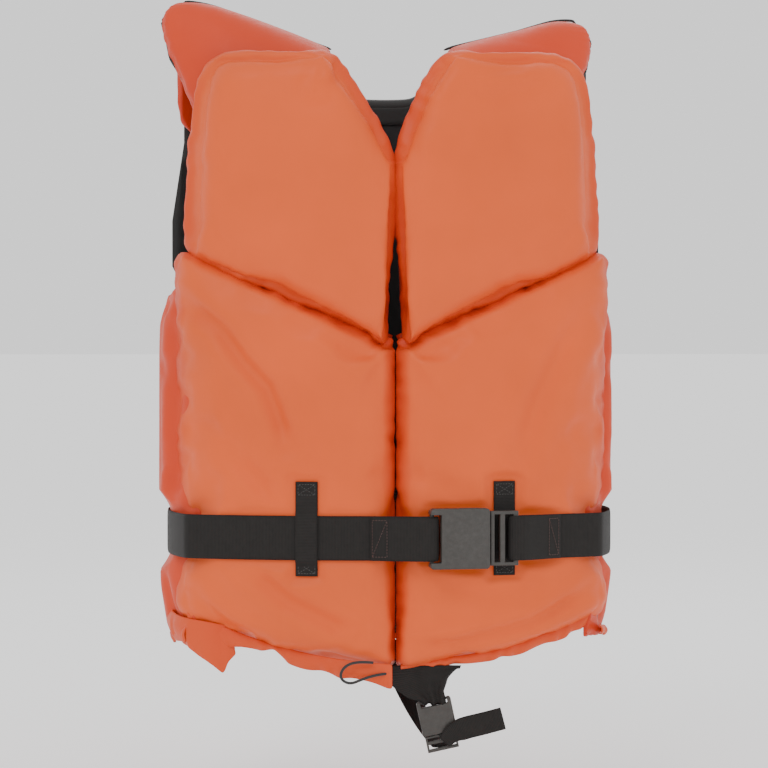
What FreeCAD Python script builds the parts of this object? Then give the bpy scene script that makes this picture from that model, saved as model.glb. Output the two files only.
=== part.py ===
"""Foam-filled life jacket with a front zip, a waist belt and a crotch strap.

Millimetres. +Z is up, the front faces -Y, the wearer's right side is at -X. The origin is the
point between the shoulders, on the centre plane, at the height where the jacket rests on the
wearer. In names, right and left are the wearer's.
"""
import FreeCAD, Part
import math
import os
import re

import Sketcher
from FreeCAD import Placement, Rotation, Vector

# Driving dimensions, in millimetres, and angles in degrees.
SIZES = {
    # torso: the inner faces of front and back are arcs round two upright axes
    "torso_depth": 84.0,
    "curve_radius": 416.0,
    "lining": 1.0,
    "ease": 0.3,
    "wall": 1.0,
    # thickness of the padded chambers, covers included
    "front_thick": 45.0,
    "chest_thick": 58.0,
    "back_thick": 30.0,
    "side_thick": 9.0,
    "shoulder_thick": 20.0,
    # outlines, as distances from the centre plane and below or above the origin
    "panel_half": 182.0,
    "front_gap": 3.0,
    "gap_foot": 9.0,
    "vee_outer": 147.0,
    "vee_inner": 229.0,
    "vee_seam": 2.5,
    "hem_side": 480.0,
    "hem_mid": 509.0,
    "hem_centre": 519.0,
    "neck_vee": 65.0,
    "neck_half": 52.0,
    "chest_top": 27.0,
    "chest_top_half": 163.0,
    "chest_shoulder": 177.0,
    "back_neck": 7.0,
    "back_neck_half": 30.0,
    "back_neck_edge": 11.0,
    "back_top": 46.0,
    "binding_width": 8.0,
    "binding_thick": 1.2,
    "armhole_foot": 185.0,
    "armhole_half": 196.0,
    # side gussets: arcs round upright axes just across the centre plane
    "side_radius": 215.0,
    "side_axis_across": 14.0,
    "side_axis_front": 8.0,
    # shoulder pads: arches round an axis that rises outwards
    "arch_radius": 112.0,
    "arch_drop": 79.0,
    "arch_tilt": 15.0,
    "arch_length": 235.0,
    "shoulder_leg": 45.0,
    # zip
    "zip_top": 240.0,
    "zip_foot": 506.0,
    "zip_plane": 84.5,
    "tape_thick": 0.6,
    "tape_half": 17.0,
    "tooth_pitch": 3.0,
    "tooth_height": 1.3,
    "tooth_reach": 2.4,
    "tooth_overlap": 0.6,
    "tooth_depth": 2.6,
    "slider_height": 13.0,
    "slider_half": 4.8,
    "slider_depth": 8.0,
    "pull_length": 27.0,
    "pull_half": 2.6,
    "pivot_front": 90.8,
    "pivot_hole": 0.8,
    "pivot_pin": 0.72,
    "rebate_half": 6.5,
    "rebate_depth": 103.0,
    # webbing
    "belt_width": 40.0,
    "belt_thick": 2.0,
    "belt_height": 402.0,
    "loop_width": 20.0,
    "loop_thick": 1.5,
    "loop_span": 83.0,
    "loop_rise": 8.0,
    "loop_right": 79.0,
    "loop_left": 95.0,
    "loop_rear": 95.0,
    "crotch_thick": 1.8,
    # side-release buckle, drawn for 40 mm webbing
    "buckle_end": 39.5,
    "buckle_bar": 3.5,
    "buckle_slot": 6.0,
    "buckle_mouth": 13.5,
    "buckle_half": 26.5,
    "buckle_thick": 12.0,
    "buckle_cavity": 7.4,
    "socket_bar": 4.0,
    "plug_thick": 7.0,
    "hairpin_layer": 1.8,
    "waist_scale": 1.0,
    "waist_buckle_across": 67.0,
    "crotch_scale": 0.58,
    "crotch_across": 38.0,
    "crotch_front": 108.0,
    "crotch_height": 569.0,
    "crotch_tilt": 12.0,
    "cord_diameter": 2.5,
}
TALL = 900.0

doc = FreeCAD.newDocument("life_jacket")
sheet = doc.addObject("Spreadsheet::Sheet", "Sizes")
for row, (alias, value) in enumerate(SIZES.items(), start=1):
    sheet.set(f"A{row}", alias)
    sheet.set(f"B{row}", str(value))
    sheet.setAlias(f"B{row}", alias)
doc.recompute()

parts = []


def bound(expression):
    """The expression with each of the sheet's names pointed at the sheet."""
    return re.sub(r"\b[a-z]+_[a-z_]+\b|\blining\b|\bease\b|\bwall\b", r"Sizes.\g<0>", str(expression))


def size(expression):
    """The expression's value now."""
    return float(sheet.evalExpression(str(expression)))


def bind(piece, **expressions):
    for name, expression in expressions.items():
        piece.setExpression(name, bound(expression))
    return piece


def place(piece, across="0", along="0", up="0", turn=None):
    """Put a piece by expressions, turned first by a rotation."""
    piece.Placement = Placement(Vector(), turn or Rotation())
    piece.setExpression("Placement.Base.x", bound(across))
    piece.setExpression("Placement.Base.y", bound(along))
    piece.setExpression("Placement.Base.z", bound(up))
    return piece


def box(low, high):
    """A box between two corners given by expressions."""
    piece = doc.addObject("Part::Box", "Box")
    lengths = [f"({b}) - ({a})" for a, b in zip(low, high)]
    bind(piece, Length=lengths[0], Width=lengths[1], Height=lengths[2])
    return place(piece, *low)


def upright_cylinder(radius, across, along):
    piece = bind(doc.addObject("Part::Cylinder", "Cylinder"), Radius=radius)
    piece.Height = TALL
    return place(piece, across, along, str(-TALL * 0.75))


def cut(base, *tools):
    piece = doc.addObject("Part::Cut", "Cut")
    piece.Base = base
    piece.Tool = tools[0] if len(tools) == 1 else fuse(*tools)
    return piece


def fuse(*pieces):
    piece = doc.addObject("Part::MultiFuse", "Fuse")
    piece.Shapes = list(pieces)
    return piece


def common(*pieces):
    piece = doc.addObject("Part::MultiCommon", "Common")
    piece.Shapes = list(pieces)
    return piece


def keep(piece, node):
    """Make a piece a sub-part under its node's name."""
    piece.Label = node
    parts.append(piece)
    return piece


def mirrored(piece, node):
    """The same piece on the wearer's other side."""
    copy = doc.addObject("Part::Mirroring", "Mirror")
    copy.Source = piece
    copy.Normal = Vector(1, 0, 0)
    return keep(copy, node)


def polygon(sketch, points):
    """A closed outline whose corners are tied to expressions."""
    corners = [Vector(size(x), size(y), 0) for x, y in points]
    first = sketch.GeometryCount
    for start, end in zip(corners, corners[1:] + corners[:1]):
        sketch.addGeometry(Part.LineSegment(start, end), False)
    for index in range(len(points)):
        line = first + index
        after = first + (index + 1) % len(points)
        sketch.addConstraint(Sketcher.Constraint("Coincident", line, 2, after, 1))
    for index, (point, corner) in enumerate(zip(points, corners)):
        for kind, expression, value in zip(("DistanceX", "DistanceY"), point, corner):
            number = sketch.addConstraint(Sketcher.Constraint(kind, -1, 1, first + index, 1, value))
            sketch.setExpression(f"Constraints[{number}]", bound(expression))
    return sketch


def prism(points, inset="0", turn=None):
    """An outline in the XZ plane, drawn in by an inset, run through the whole depth."""
    sketch = polygon(doc.addObject("Sketcher::SketchObject", "Outline"), points)
    sketch.Placement = Placement(Vector(), turn or Rotation(Vector(1, 0, 0), 90))
    outline = sketch
    if inset != "0":
        outline = doc.addObject("Part::Offset2D", "Inset")
        outline.Source = sketch
        outline.Join = "Intersection"
        outline.setExpression("Value", bound(f"-({inset})"))
    piece = doc.addObject("Part::Extrusion", "Prism")
    piece.Base = outline
    piece.DirMode = "Normal"
    piece.LengthFwd = TALL
    piece.Symmetric = True
    piece.Solid = True
    return piece


AXIS_GAP = "(curve_radius - torso_depth)"


def front_shell(inner, outer):
    """The space between two radii round the axis of the front."""
    return cut(upright_cylinder(outer, "0", AXIS_GAP), upright_cylinder(inner, "0", AXIS_GAP))


def back_shell(inner, outer):
    return cut(upright_cylinder(outer, "0", f"-{AXIS_GAP}"), upright_cylinder(inner, "0", f"-{AXIS_GAP}"))


def chamber(region, cover, foam):
    """A fabric cover with a hollow, and the foam in it, from a region that can be drawn in."""
    shell = cut(region("0"), region("wall"))
    return keep(shell, cover), keep(region("wall + ease"), foam)


FACE = "(curve_radius + lining + ease)"

# ---------------------------------------------------------------- lower front

LOWER_OUTLINE = [
    ("-front_gap", "-(vee_inner + vee_seam * 2)"),
    ("-panel_half", "-(vee_outer + vee_seam)"),
    ("-panel_half", "-hem_side"),
    ("-panel_half / 2", "-hem_mid"),
    ("-front_gap", "-hem_centre"),
]


def lower_region(inset):
    """One lower front pad, with a rebate for the zip along its inner edge."""
    slab = front_shell(f"{FACE} + {inset}", f"{FACE} + front_thick - ({inset})")
    rebate = box(
        (f"-(rebate_half + {inset})", f"-(rebate_depth + {inset})", f"-{TALL}"),
        (f"rebate_half + {inset}", "-torso_depth + 20", "0"),
    )
    return cut(common(slab, prism(LOWER_OUTLINE, inset), front_half_space()), rebate)


def front_half_space():
    return box((f"-{TALL}", f"-{TALL}", f"-{TALL}"), (str(TALL), "0", str(TALL)))


def back_half_space():
    return box((f"-{TALL}", "0", f"-{TALL}"), (str(TALL), str(TALL), str(TALL)))


# ---------------------------------------------------------------- chest blocks

CHEST_OUTLINE = [
    ("-gap_foot", "-vee_inner"),
    ("-front_gap", "-(neck_vee * 2)"),
    ("-front_gap", "-neck_vee"),
    ("-neck_half", "chest_top"),
    ("-chest_top_half", "chest_top"),
    ("-chest_shoulder", "chest_top / 9"),
    ("-panel_half", "-(neck_vee * 1.5)"),
    ("-panel_half", "-vee_outer"),
]


def chest_region(inset):
    slab = front_shell(f"{FACE} + {inset}", f"{FACE} + chest_thick - ({inset})")
    return common(slab, prism(CHEST_OUTLINE, inset), front_half_space())


# ---------------------------------------------------------------- back

BACK_OUTLINE = [
    ("-panel_half", "-(hem_side + 8)"),
    ("-panel_half / 2", "-hem_mid"),
    ("panel_half / 2", "-hem_mid"),
    ("panel_half", "-(hem_side + 8)"),
    ("panel_half", "-armhole_foot"),
    ("armhole_half", "-(armhole_foot - 25)"),
    ("armhole_half", "-(armhole_foot - 65)"),
    ("panel_half + 2", "-shoulder_leg"),
    ("panel_half + 2", "back_top"),
    ("neck_half", "back_neck_edge"),
    ("back_neck_half", "-back_neck"),
    ("-back_neck_half", "-back_neck"),
    ("-neck_half", "back_neck_edge"),
    ("-(panel_half + 2)", "back_top"),
    ("-(panel_half + 2)", "-shoulder_leg"),
    ("-armhole_half", "-(armhole_foot - 65)"),
    ("-armhole_half", "-(armhole_foot - 25)"),
    ("-panel_half", "-armhole_foot"),
]


def back_region(inset):
    slab = back_shell(f"{FACE} + {inset}", f"{FACE} + back_thick - ({inset})")
    return common(slab, prism(BACK_OUTLINE, inset), back_half_space())


# ---------------------------------------------------------------- side gussets


def side_ring(inner, outer):
    centre = ("side_axis_across", "-side_axis_front")
    return cut(upright_cylinder(outer, *centre), upright_cylinder(inner, *centre))


def side_slab(inner, outer, inset):
    """Part of a ring between the outer edges of front and back, below the armhole."""
    limits = box(
        (f"-{TALL}", f"-(side_radius / 2 - 22 - ({inset}))", f"-(hem_side + 8 - ({inset}))"),
        (f"-(panel_half + ease + {inset})", f"side_radius / 2 - 32 - ({inset})", f"-(armhole_foot + {inset})"),
    )
    return common(side_ring(inner, outer), limits)


def side_region(inset):
    return side_slab(f"side_radius - side_thick + {inset}", f"side_radius - ({inset})", inset)


# ---------------------------------------------------------------- shoulder pads


def arch_cylinder(radius):
    """A cylinder round the shoulder's axis, from the centre plane outwards on the wearer's right."""
    piece = bind(doc.addObject("Part::Cylinder", "Arch"), Radius=radius, Height="arch_length")
    turn = Rotation(Vector(0, 1, 0), -(90 - size("arch_tilt")))
    return place(piece, "0", "0", "-(arch_drop + neck_half * tan(arch_tilt * 1deg))", turn)


def shoulder_region(inset):
    """An arch from the back over the shoulder, with a leg down behind the chest block."""
    lens_radius = f"curve_radius - ease - ({inset})"
    lens = common(upright_cylinder(lens_radius, "0", AXIS_GAP), upright_cylinder(lens_radius, "0", f"-{AXIS_GAP}"))
    outer = arch_cylinder(f"arch_radius - ({inset})")
    inner = arch_cylinder(f"arch_radius - shoulder_thick + {inset}")
    leg_face = upright_cylinder(f"curve_radius - ease - shoulder_thick + {inset}", "0", AXIS_GAP)
    leg_space = cut(front_half_space(), leg_face)
    roof = cut(outer, inner)
    legs = common(outer, leg_space)
    low = (f"-(armhole_half + 2 - ({inset}))", f"-{TALL}", f"-(shoulder_leg - ({inset}))")
    above = box(low, (f"-(neck_half - 2 + {inset})", str(TALL), str(TALL)))
    return common(fuse(roof, legs), lens, above)


# ---------------------------------------------------------------- the sewn jacket

LINING_OUTLINE = [
    ("-(tape_half + 0.5)", "-hem_centre + 2"),
    ("-(tape_half + 0.5)", "-vee_inner"),
    ("-gap_foot", "-(vee_inner - 4)"),
    ("-front_gap", "-(neck_vee * 2)"),
    ("-front_gap", "-neck_vee"),
    ("-neck_half", "chest_top"),
    ("-chest_top_half", "chest_top"),
    ("-panel_half", "-(neck_vee * 1.5)"),
    ("-panel_half", "-hem_side"),
    ("-panel_half / 2", "-hem_mid + 2"),
]

BINDING_OUTLINE = [
    ("-neck_half", "back_neck_edge - binding_width"),
    ("-back_neck_half", "-(back_neck + binding_width)"),
    ("back_neck_half", "-(back_neck + binding_width)"),
    ("neck_half", "back_neck_edge - binding_width"),
    ("neck_half", "back_neck_edge"),
    ("back_neck_half", "-back_neck"),
    ("-back_neck_half", "-back_neck"),
    ("-neck_half", "back_neck_edge"),
]


def sewn_pair(region, name):
    """A chamber on the wearer's right and its mirror image on the left."""
    cover, foam = chamber(region, f"{name}_cover_right", f"{name}_foam_right")
    mirrored(cover, f"{name}_cover_left")
    mirrored(foam, f"{name}_foam_left")


def linings():
    slab = front_shell("curve_radius", "curve_radius + lining")
    front = keep(common(slab, prism(LINING_OUTLINE), front_half_space()), "front_lining_right")
    mirrored(front, "front_lining_left")
    slab = back_shell("curve_radius", "curve_radius + lining")
    keep(common(slab, prism(BACK_OUTLINE), back_half_space()), "back_lining")
    band = back_shell("curve_radius - ease - binding_thick", "curve_radius - ease")
    keep(common(band, prism(BINDING_OUTLINE), back_half_space()), "neck_binding")
    face = "side_radius - side_thick - ease"
    side = keep(side_slab(f"{face} - lining", face, "0"), "side_lining_right")
    mirrored(side, "side_lining_left")


sewn_pair(lower_region, "front")
sewn_pair(chest_region, "chest")
sewn_pair(side_region, "side")
sewn_pair(shoulder_region, "shoulder")
chamber(back_region, "back_cover", "back_foam")
linings()

# ---------------------------------------------------------------- PartDesign helpers


def body(node):
    piece = doc.addObject("PartDesign::Body", node)
    return keep(piece, node)


def plane(piece, role):
    for feature in piece.Origin.OriginFeatures:
        if feature.Role == role:
            return feature
    raise ValueError(role)


def sketch_in(piece, role, points):
    sketch = piece.newObject("Sketcher::SketchObject", "Sketch")
    sketch.AttachmentSupport = [(plane(piece, role), "")]
    sketch.MapMode = "FlatFace"
    return polygon(sketch, points)


def rectangle(low, high):
    (x1, y1), (x2, y2) = low, high
    return [(x1, y1), (x2, y1), (x2, y2), (x1, y2)]


def pad(piece, points, length, role="XZ_Plane"):
    """Add a prism, half its length to each side of the plane."""
    feature = piece.newObject("PartDesign::Pad", "Pad")
    feature.Profile = sketch_in(piece, role, points)
    feature.SideType = "Symmetric"
    feature.setExpression("Length", bound(length))
    doc.recompute()
    return feature


def pocket(piece, points, length, role="XZ_Plane"):
    """Take a prism away, half its length to each side of the plane."""
    before = piece.Shape.Volume
    feature = piece.newObject("PartDesign::Pocket", "Pocket")
    feature.Profile = sketch_in(piece, role, points)
    feature.SideType = "Symmetric"
    feature.setExpression("Length", bound(length))
    doc.recompute()
    if piece.Shape.Volume >= before:
        raise RuntimeError(f"a pocket in {piece.Label} removes nothing")
    return feature


# ---------------------------------------------------------------- zip


def zip_tape():
    low = ("-tape_half", "-(zip_plane + tape_thick / 2)", "-zip_foot")
    high = ("-(tooth_reach - 0.2)", "-(zip_plane - tape_thick / 2)", "-(zip_top - 4)")
    tape = keep(box(low, high), "zip_tape_right")
    mirrored(tape, "zip_tape_left")


def zip_teeth(node, inner, outer, first):
    """One side's row of teeth, at every other place of the chain."""
    tooth = box(
        (inner, "-(zip_plane + tooth_depth / 2)", f"-({first} + tooth_height)"),
        (outer, "-(zip_plane - tooth_depth / 2)", f"-({first})"),
    )
    doc.recompute()
    rows = int((size("zip_foot") - 12 - size(first)) / size("tooth_pitch"))
    teeth = []
    for row in range(rows):
        copy = tooth.Shape.copy()
        copy.translate(Vector(0, 0, -row * size("tooth_pitch")))
        teeth.append(copy)
    chain = doc.addObject("Part::Feature", "Teeth")
    chain.Shape = Part.makeCompound(teeth)
    keep(chain, node)


def zip_slider():
    """Two plates with a channel for the chain, slots for the tapes, and a lug for the pull."""
    slider = body("zip_slider")
    corner = ("slider_half", "slider_depth / 2")
    pad(slider, rectangle(("-slider_half", "-slider_depth / 2"), corner), "slider_height", "XY_Plane")
    lug_front = "-(pivot_front - zip_plane)"
    pad(slider, rectangle(("-1.2", lug_front), ("1.2", "-slider_depth / 2 + 1")), "4", "XY_Plane")
    nose = slider.newObject("PartDesign::AdditiveCylinder", "Nose")
    nose.setExpression("Radius", bound("pivot_hole + 1.4"))
    nose.setExpression("Height", "2.4")
    nose.Placement = Placement(Vector(-1.2, size(lug_front), 0), Rotation(Vector(0, 1, 0), 90))
    hole = slider.newObject("PartDesign::SubtractiveCylinder", "Pivot")
    hole.setExpression("Radius", bound("pivot_hole"))
    hole.setExpression("Height", "4")
    hole.Placement = Placement(Vector(-2, size(lug_front), 0), Rotation(Vector(0, 1, 0), 90))
    doc.recompute()
    chain = ("tooth_reach + 0.5", "tooth_depth / 2 + 0.3")
    pocket(slider, rectangle(("-(tooth_reach + 0.5)", "-(tooth_depth / 2 + 0.3)"), chain),
           "slider_height * 2", "XY_Plane")
    tape = ("slider_half * 2", "tape_thick / 2 + 0.4")
    pocket(slider, rectangle(("-slider_half * 2", "-(tape_thick / 2 + 0.4)"), tape),
           "slider_height * 2", "XY_Plane")
    top = "slider_height / 2"
    pad(slider, rectangle(("-1", f"{top} - 3"), ("1", top)), "slider_depth - 1")
    place(slider, "0", "-zip_plane", "-(zip_top + slider_height / 2)")


def zip_pull():
    """A tab with two ears and a pin through the slider's lug, hanging straight down."""
    pull = body("zip_pull")
    pad(pull, rectangle(("-pull_half", "-pull_length"), ("pull_half", "-3")), "1.6")
    pocket(pull, rectangle(("-pull_half / 2", "-(pull_length - 3)"), ("pull_half / 2", "-(pull_length - 9)")), "4")
    for low, high in (("-pull_half", "-1.5"), ("1.5", "pull_half")):
        pad(pull, rectangle((low, "-4"), (high, "1.5")), "2")
    pin = pull.newObject("PartDesign::AdditiveCylinder", "Pin")
    pin.setExpression("Radius", bound("pivot_pin"))
    pin.setExpression("Height", bound("pull_half * 2"))
    pin.Placement = Placement(Vector(-size("pull_half"), 0, 0), Rotation(Vector(0, 1, 0), 90))
    place(pull, "0", "-pivot_front", "-(zip_top + slider_height / 2)")


def zip_ends():
    """Top stops above the chain, and the box and pin that the chain starts from."""
    front = "-(zip_plane + 1.6)"
    rear = "-(zip_plane - 1.6)"
    stops = [
        box((low, front, "-(zip_top - 2)"), (high, rear, "-(zip_top - 4)"))
        for low, high in (("-5", "-2"), ("2", "5"))
    ]
    keep(fuse(*stops), "zip_top_stops")
    foot = "-zip_foot"
    keep(box(("-0.2", "-(zip_plane + 2.2)", foot), ("5", "-(zip_plane - 2.2)", "-(zip_foot - 10)")), "zip_box")
    keep(box(("-3", front, foot), ("-0.5", rear, "-(zip_foot - 10)")), "zip_pin")


zip_tape()
zip_teeth("zip_teeth_right", "-tooth_reach", "tooth_overlap", "zip_top + 4")
zip_teeth("zip_teeth_left", "-tooth_overlap", "tooth_reach", "zip_top + 4 + tooth_pitch / 2")
zip_slider()
zip_pull()
zip_ends()

# ---------------------------------------------------------------- waist belt

FRONT_SKIN = f"({FACE} + front_thick + ease)"
BACK_SKIN = f"({FACE} + back_thick + ease)"
BELT_FOOT = "-(belt_height + belt_width / 2)"
BELT_HEAD = "-(belt_height - belt_width / 2)"
# the buckles' flat middle stands this far outside the front covers
BUCKLE_STAND = "(belt_thick + loop_thick + buckle_thick / 2 + 0.7)"


def band(shell, low, high):
    """The part of a shell between two corners at the belt's height."""
    return common(shell, box((low[0], low[1], BELT_FOOT), (high[0], high[1], BELT_HEAD)))


def belt_frame():
    """The buckle's own axes: X along the belt, Y inwards, Z up, tangent to the front."""
    radius = size(FRONT_SKIN) + size(BUCKLE_STAND)
    across = size("waist_buckle_across")
    angle = math.asin(across / radius)
    depth = size(AXIS_GAP) - radius * math.cos(angle)
    return Placement(Vector(across, depth, -size("belt_height")), Rotation(Vector(0, 0, 1), math.degrees(angle)))


def hairpin(tip, shoulder, tail, stand, bar):
    """Webbing that comes along the cover, turns round a buckle bar and lies back on itself."""
    layer = size("hairpin_layer")
    half = bar / 2 + layer + 3 * size("ease")
    side = -1 if tip > 0 else 1
    outer = [
        (tail, stand),
        (shoulder, half),
        (tip - side * 3, half),
        (tip, half - 3),
        (tip, 3 - half),
        (tip - side * 3, -half),
        (shoulder, -half),
        (tail, stand - 2 * layer),
    ]
    inner = [
        (shoulder + (tail - shoulder) * 0.45, stand * 0.45 + (half - layer) * 0.1),
        (shoulder, half - layer),
        (tip - side * (layer + 1), half - layer),
        (tip - side * layer, half - layer - 1),
        (tip - side * layer, 1 + layer - half),
        (tip - side * (layer + 1), layer - half),
        (shoulder, layer - half),
    ]
    outline = doc.addObject("Part::Extrusion", "Webbing")
    sketch = polygon(doc.addObject("Sketcher::SketchObject", "Outline"), outer)
    hole = polygon(doc.addObject("Sketcher::SketchObject", "Hole"), inner)
    outline.Base = sketch
    void = doc.addObject("Part::Extrusion", "Void")
    void.Base = hole
    for piece in (outline, void):
        piece.DirMode = "Normal"
        piece.setExpression("LengthFwd", bound("belt_width"))
        piece.Symmetric = True
        piece.Solid = True
    return cut(outline, void)


def belt():
    right = hairpin(-31.0, -46.0, -92.0, 19.3, size("socket_bar"))
    left = hairpin(30.5, 46.0, 84.0, 17.8, size("plug_thick"))
    for piece in (right, left):
        piece.Placement = belt_frame()
    front = front_shell(FRONT_SKIN, f"{FRONT_SKIN} + belt_thick")
    back = back_shell(BACK_SKIN, f"{BACK_SKIN} + belt_thick")
    side = side_ring("side_radius + ease", "side_radius + ease + belt_thick")
    corner = "panel_half + 4"
    strip = band(front, (f"-({corner})", f"-{TALL}"), ("-18", "-70"))
    rear = band(back, (f"-({corner})", "40"), (corner, str(TALL)))
    flank = band(side, (f"-{TALL}", "-(side_radius / 2 - 9.5)"), ("-(panel_half + ease)", "side_radius / 2 - 27"))
    other = doc.addObject("Part::Mirroring", "Mirror")
    other.Source = flank
    other.Normal = Vector(1, 0, 0)
    keep(fuse(strip, flank, rear, other, right), "belt_main")
    end = band(front, ("143", f"-{TALL}"), ("panel_half - 1.5", "-70"))
    keep(fuse(end, left), "belt_left")


def belt_loop(across):
    """A short vertical strap, sewn above and below the belt and standing off over it."""
    top = "-(belt_height - loop_rise - loop_span / 2)"
    foot = "-(belt_height - loop_rise + loop_span / 2)"
    low = f"{across} - loop_width / 2"
    high = f"{across} + loop_width / 2"
    over = f"{FRONT_SKIN} + belt_thick + ease"
    ends = front_shell(FRONT_SKIN, f"{FRONT_SKIN} + loop_thick")
    rise = front_shell(FRONT_SKIN, f"{over} + loop_thick")
    cover = front_shell(over, f"{over} + loop_thick")
    gap = "belt_width / 2 + 1"
    step = f"{gap} + loop_thick"
    levels = (
        (ends, foot, f"-(belt_height + {gap})"),
        (rise, f"-(belt_height + {step})", f"-(belt_height + {gap})"),
        (cover, f"-(belt_height + {step})", f"-(belt_height - ({step}))"),
        (rise, f"-(belt_height - ({gap}))", f"-(belt_height - ({step}))"),
        (ends, f"-(belt_height - ({gap}))", top),
    )
    runs = [common(shell, box((low, f"-{TALL}", bottom), (high, "0", head))) for shell, bottom, head in levels]
    return fuse(*runs)


def rear_loops():
    """Two loops on the back, the same as the front ones."""
    loops = []
    for across in ("loop_rear", "-loop_rear"):
        loop = belt_loop(across)
        turned = doc.addObject("Part::Mirroring", "Mirror")
        turned.Source = loop
        turned.Normal = Vector(0, 1, 0)
        loops.append(turned)
    pair = doc.addObject("Part::Compound", "Pair")
    pair.Links = loops
    pair.Placement.Base = Vector(0, -(size("front_thick") - size("back_thick")), 0)
    keep(pair, "belt_loops_rear")


belt()
keep(belt_loop("-loop_right"), "belt_loop_right")
keep(belt_loop("loop_left"), "belt_loop_left")
rear_loops()

# ---------------------------------------------------------------- side-release buckles


def scaled(scale, *points):
    """Corners of the buckle drawing, brought to one buckle's size."""
    return [(f"({x}) * {scale}", f"({y}) * {scale}") for x, y in points]


def buckle_socket(node, scale):
    """A hollow housing with a mouth for the arms, a window in each side and a webbing bar."""
    socket = body(node)
    outline = [
        ("-buckle_end", "-(buckle_half - 2)"),
        ("-(buckle_end - 2)", "-buckle_half"),
        ("buckle_mouth - 2", "-buckle_half"),
        ("buckle_mouth", "-(buckle_half - 2)"),
        ("buckle_mouth", "buckle_half - 2"),
        ("buckle_mouth - 2", "buckle_half"),
        ("-(buckle_end - 2)", "buckle_half"),
        ("-buckle_end", "buckle_half - 2"),
    ]
    pad(socket, scaled(scale, *outline), f"buckle_thick * {scale}")
    slot_end = "-(buckle_end - buckle_bar - buckle_slot)"
    slot = rectangle(("-buckle_end - 1", "-21"), (slot_end, "21"))
    pocket(socket, scaled(scale, *slot), f"buckle_thick * 2 * {scale}")
    bar = rectangle(("-buckle_end", "-22"), ("-(buckle_end - buckle_bar)", "22"))
    pad(socket, scaled(scale, *bar), f"socket_bar * {scale}")
    cavity = rectangle(("-20", "-20.5"), ("buckle_mouth + 1", "20.5"))
    pocket(socket, scaled(scale, *cavity), f"buckle_cavity * {scale}")
    windows = rectangle(("-12.5", "-28"), ("4.5", "28"))
    pocket(socket, scaled(scale, *windows), f"buckle_cavity * {scale}")
    return socket


def buckle_plug(node, scale):
    """A plate with two webbing slots and a guide that runs into the socket."""
    plug = body(node)
    plate = rectangle(("buckle_mouth + 1", "-24"), ("buckle_end", "24"))
    pad(plug, scaled(scale, *plate), f"plug_thick * {scale}")
    guide = rectangle(("-14", "-3.5"), ("buckle_mouth + 3", "3.5"))
    pad(plug, scaled(scale, *guide), f"5 * {scale}")
    for low, high in (("18", "23"), ("27.5", "buckle_end - 4.5")):
        slot = rectangle((low, "-21"), (high, "21"))
        pocket(plug, scaled(scale, *slot), f"20 * {scale}")
    return plug


def buckle_arm(node, scale, side):
    """A springy arm whose shoulder fills the socket's window."""
    arm = body(node)
    outline = [
        ("14.2", 8),
        ("14.2", 14),
        ("4", 17),
        ("3.6", 24),
        ("-2", 25.5),
        ("-8", 25.5),
        ("-12", 20),
        ("-13", 14),
        ("4", 10),
    ]
    corners = [(x, f"{side * y}") for x, y in outline]
    pad(arm, scaled(scale, *corners), f"5 * {scale}")
    return arm


def crotch_frame():
    """The small buckle's own axes: X down the strap, Z across it."""
    tilt = math.radians(size("crotch_tilt"))
    down = Vector(math.sin(tilt), 0, -math.cos(tilt))
    inward = Vector(0, 1, 0)
    across = down.cross(inward)
    centre = Vector(size("crotch_across"), -size("crotch_front"), -size("crotch_height"))
    return Placement(centre, Rotation(down, inward, across, "XYZ"))


def buckles():
    sets = (
        ("waist", "waist_scale", belt_frame(), ("upper", "lower")),
        ("crotch", "crotch_scale", crotch_frame(), ("left", "right")),
    )
    for name, scale, frame, sides in sets:
        pieces = [buckle_socket(f"{name}_socket", scale), buckle_plug(f"{name}_plug", scale)]
        pieces.append(buckle_arm(f"{name}_arm_{sides[0]}", scale, 1))
        pieces.append(buckle_arm(f"{name}_arm_{sides[1]}", scale, -1))
        for piece in pieces:
            piece.Placement = frame


buckles()

# ---------------------------------------------------------------- crotch strap


def hem_strap():
    """Folded webbing below the front hem that narrows to the small buckle's bar."""
    outline = [
        ("-8", "-(hem_centre + 2)"),
        ("crotch_across + 17", "-(hem_centre + 2)"),
        ("crotch_across + 5.5", "-(hem_centre + 25)"),
        ("crotch_across + 5", "-(hem_centre + 27.2)"),
        ("crotch_across - 14", "-(hem_centre + 29.7)"),
        ("crotch_across - 15", "-(hem_centre + 25)"),
    ]
    strap = common(prism(outline), box((f"-{TALL}", "-2", f"-{TALL}"), (str(TALL), "2", "0")))
    place(strap, "0", "-crotch_front", "0")
    return keep(strap, "crotch_hem_strap")


def ribbon(route, thickness, width):
    """Flat webbing along an upright route of straight runs, as wide to each side of it."""
    wire = Part.makePolygon([Vector(x, z, -width / 2) for x, z in route])
    face = wire.makeOffset2D(thickness, 0, True, True)
    return face.extrude(Vector(0, 0, width))


def crotch_strap():
    """Webbing from the small buckle's plug, under the wearer, up to the middle of the back hem."""
    start = Vector(size("crotch_across") + 4.4, -size("crotch_front") + 3.9, -size("crotch_height") - 20)
    end = Vector(0, size("torso_depth") + 14, -size("hem_mid") - 1)
    run = math.hypot(end.x - start.x, end.y - start.y)
    rise = end.z - start.z
    route = [(run * share, rise * share - 46 * share * (1 - share)) for share in (0, 0.2, 0.4, 0.6, 0.8, 1)]
    strap = doc.addObject("Part::Feature", "CrotchStrap")
    strap.Shape = ribbon(route, size("crotch_thick"), size("loop_width"))
    heading = math.degrees(math.atan2(end.y - start.y, end.x - start.x))
    strap.Placement = Placement(start, Rotation(heading, 0, 90))
    keep(strap, "crotch_strap")


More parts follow.
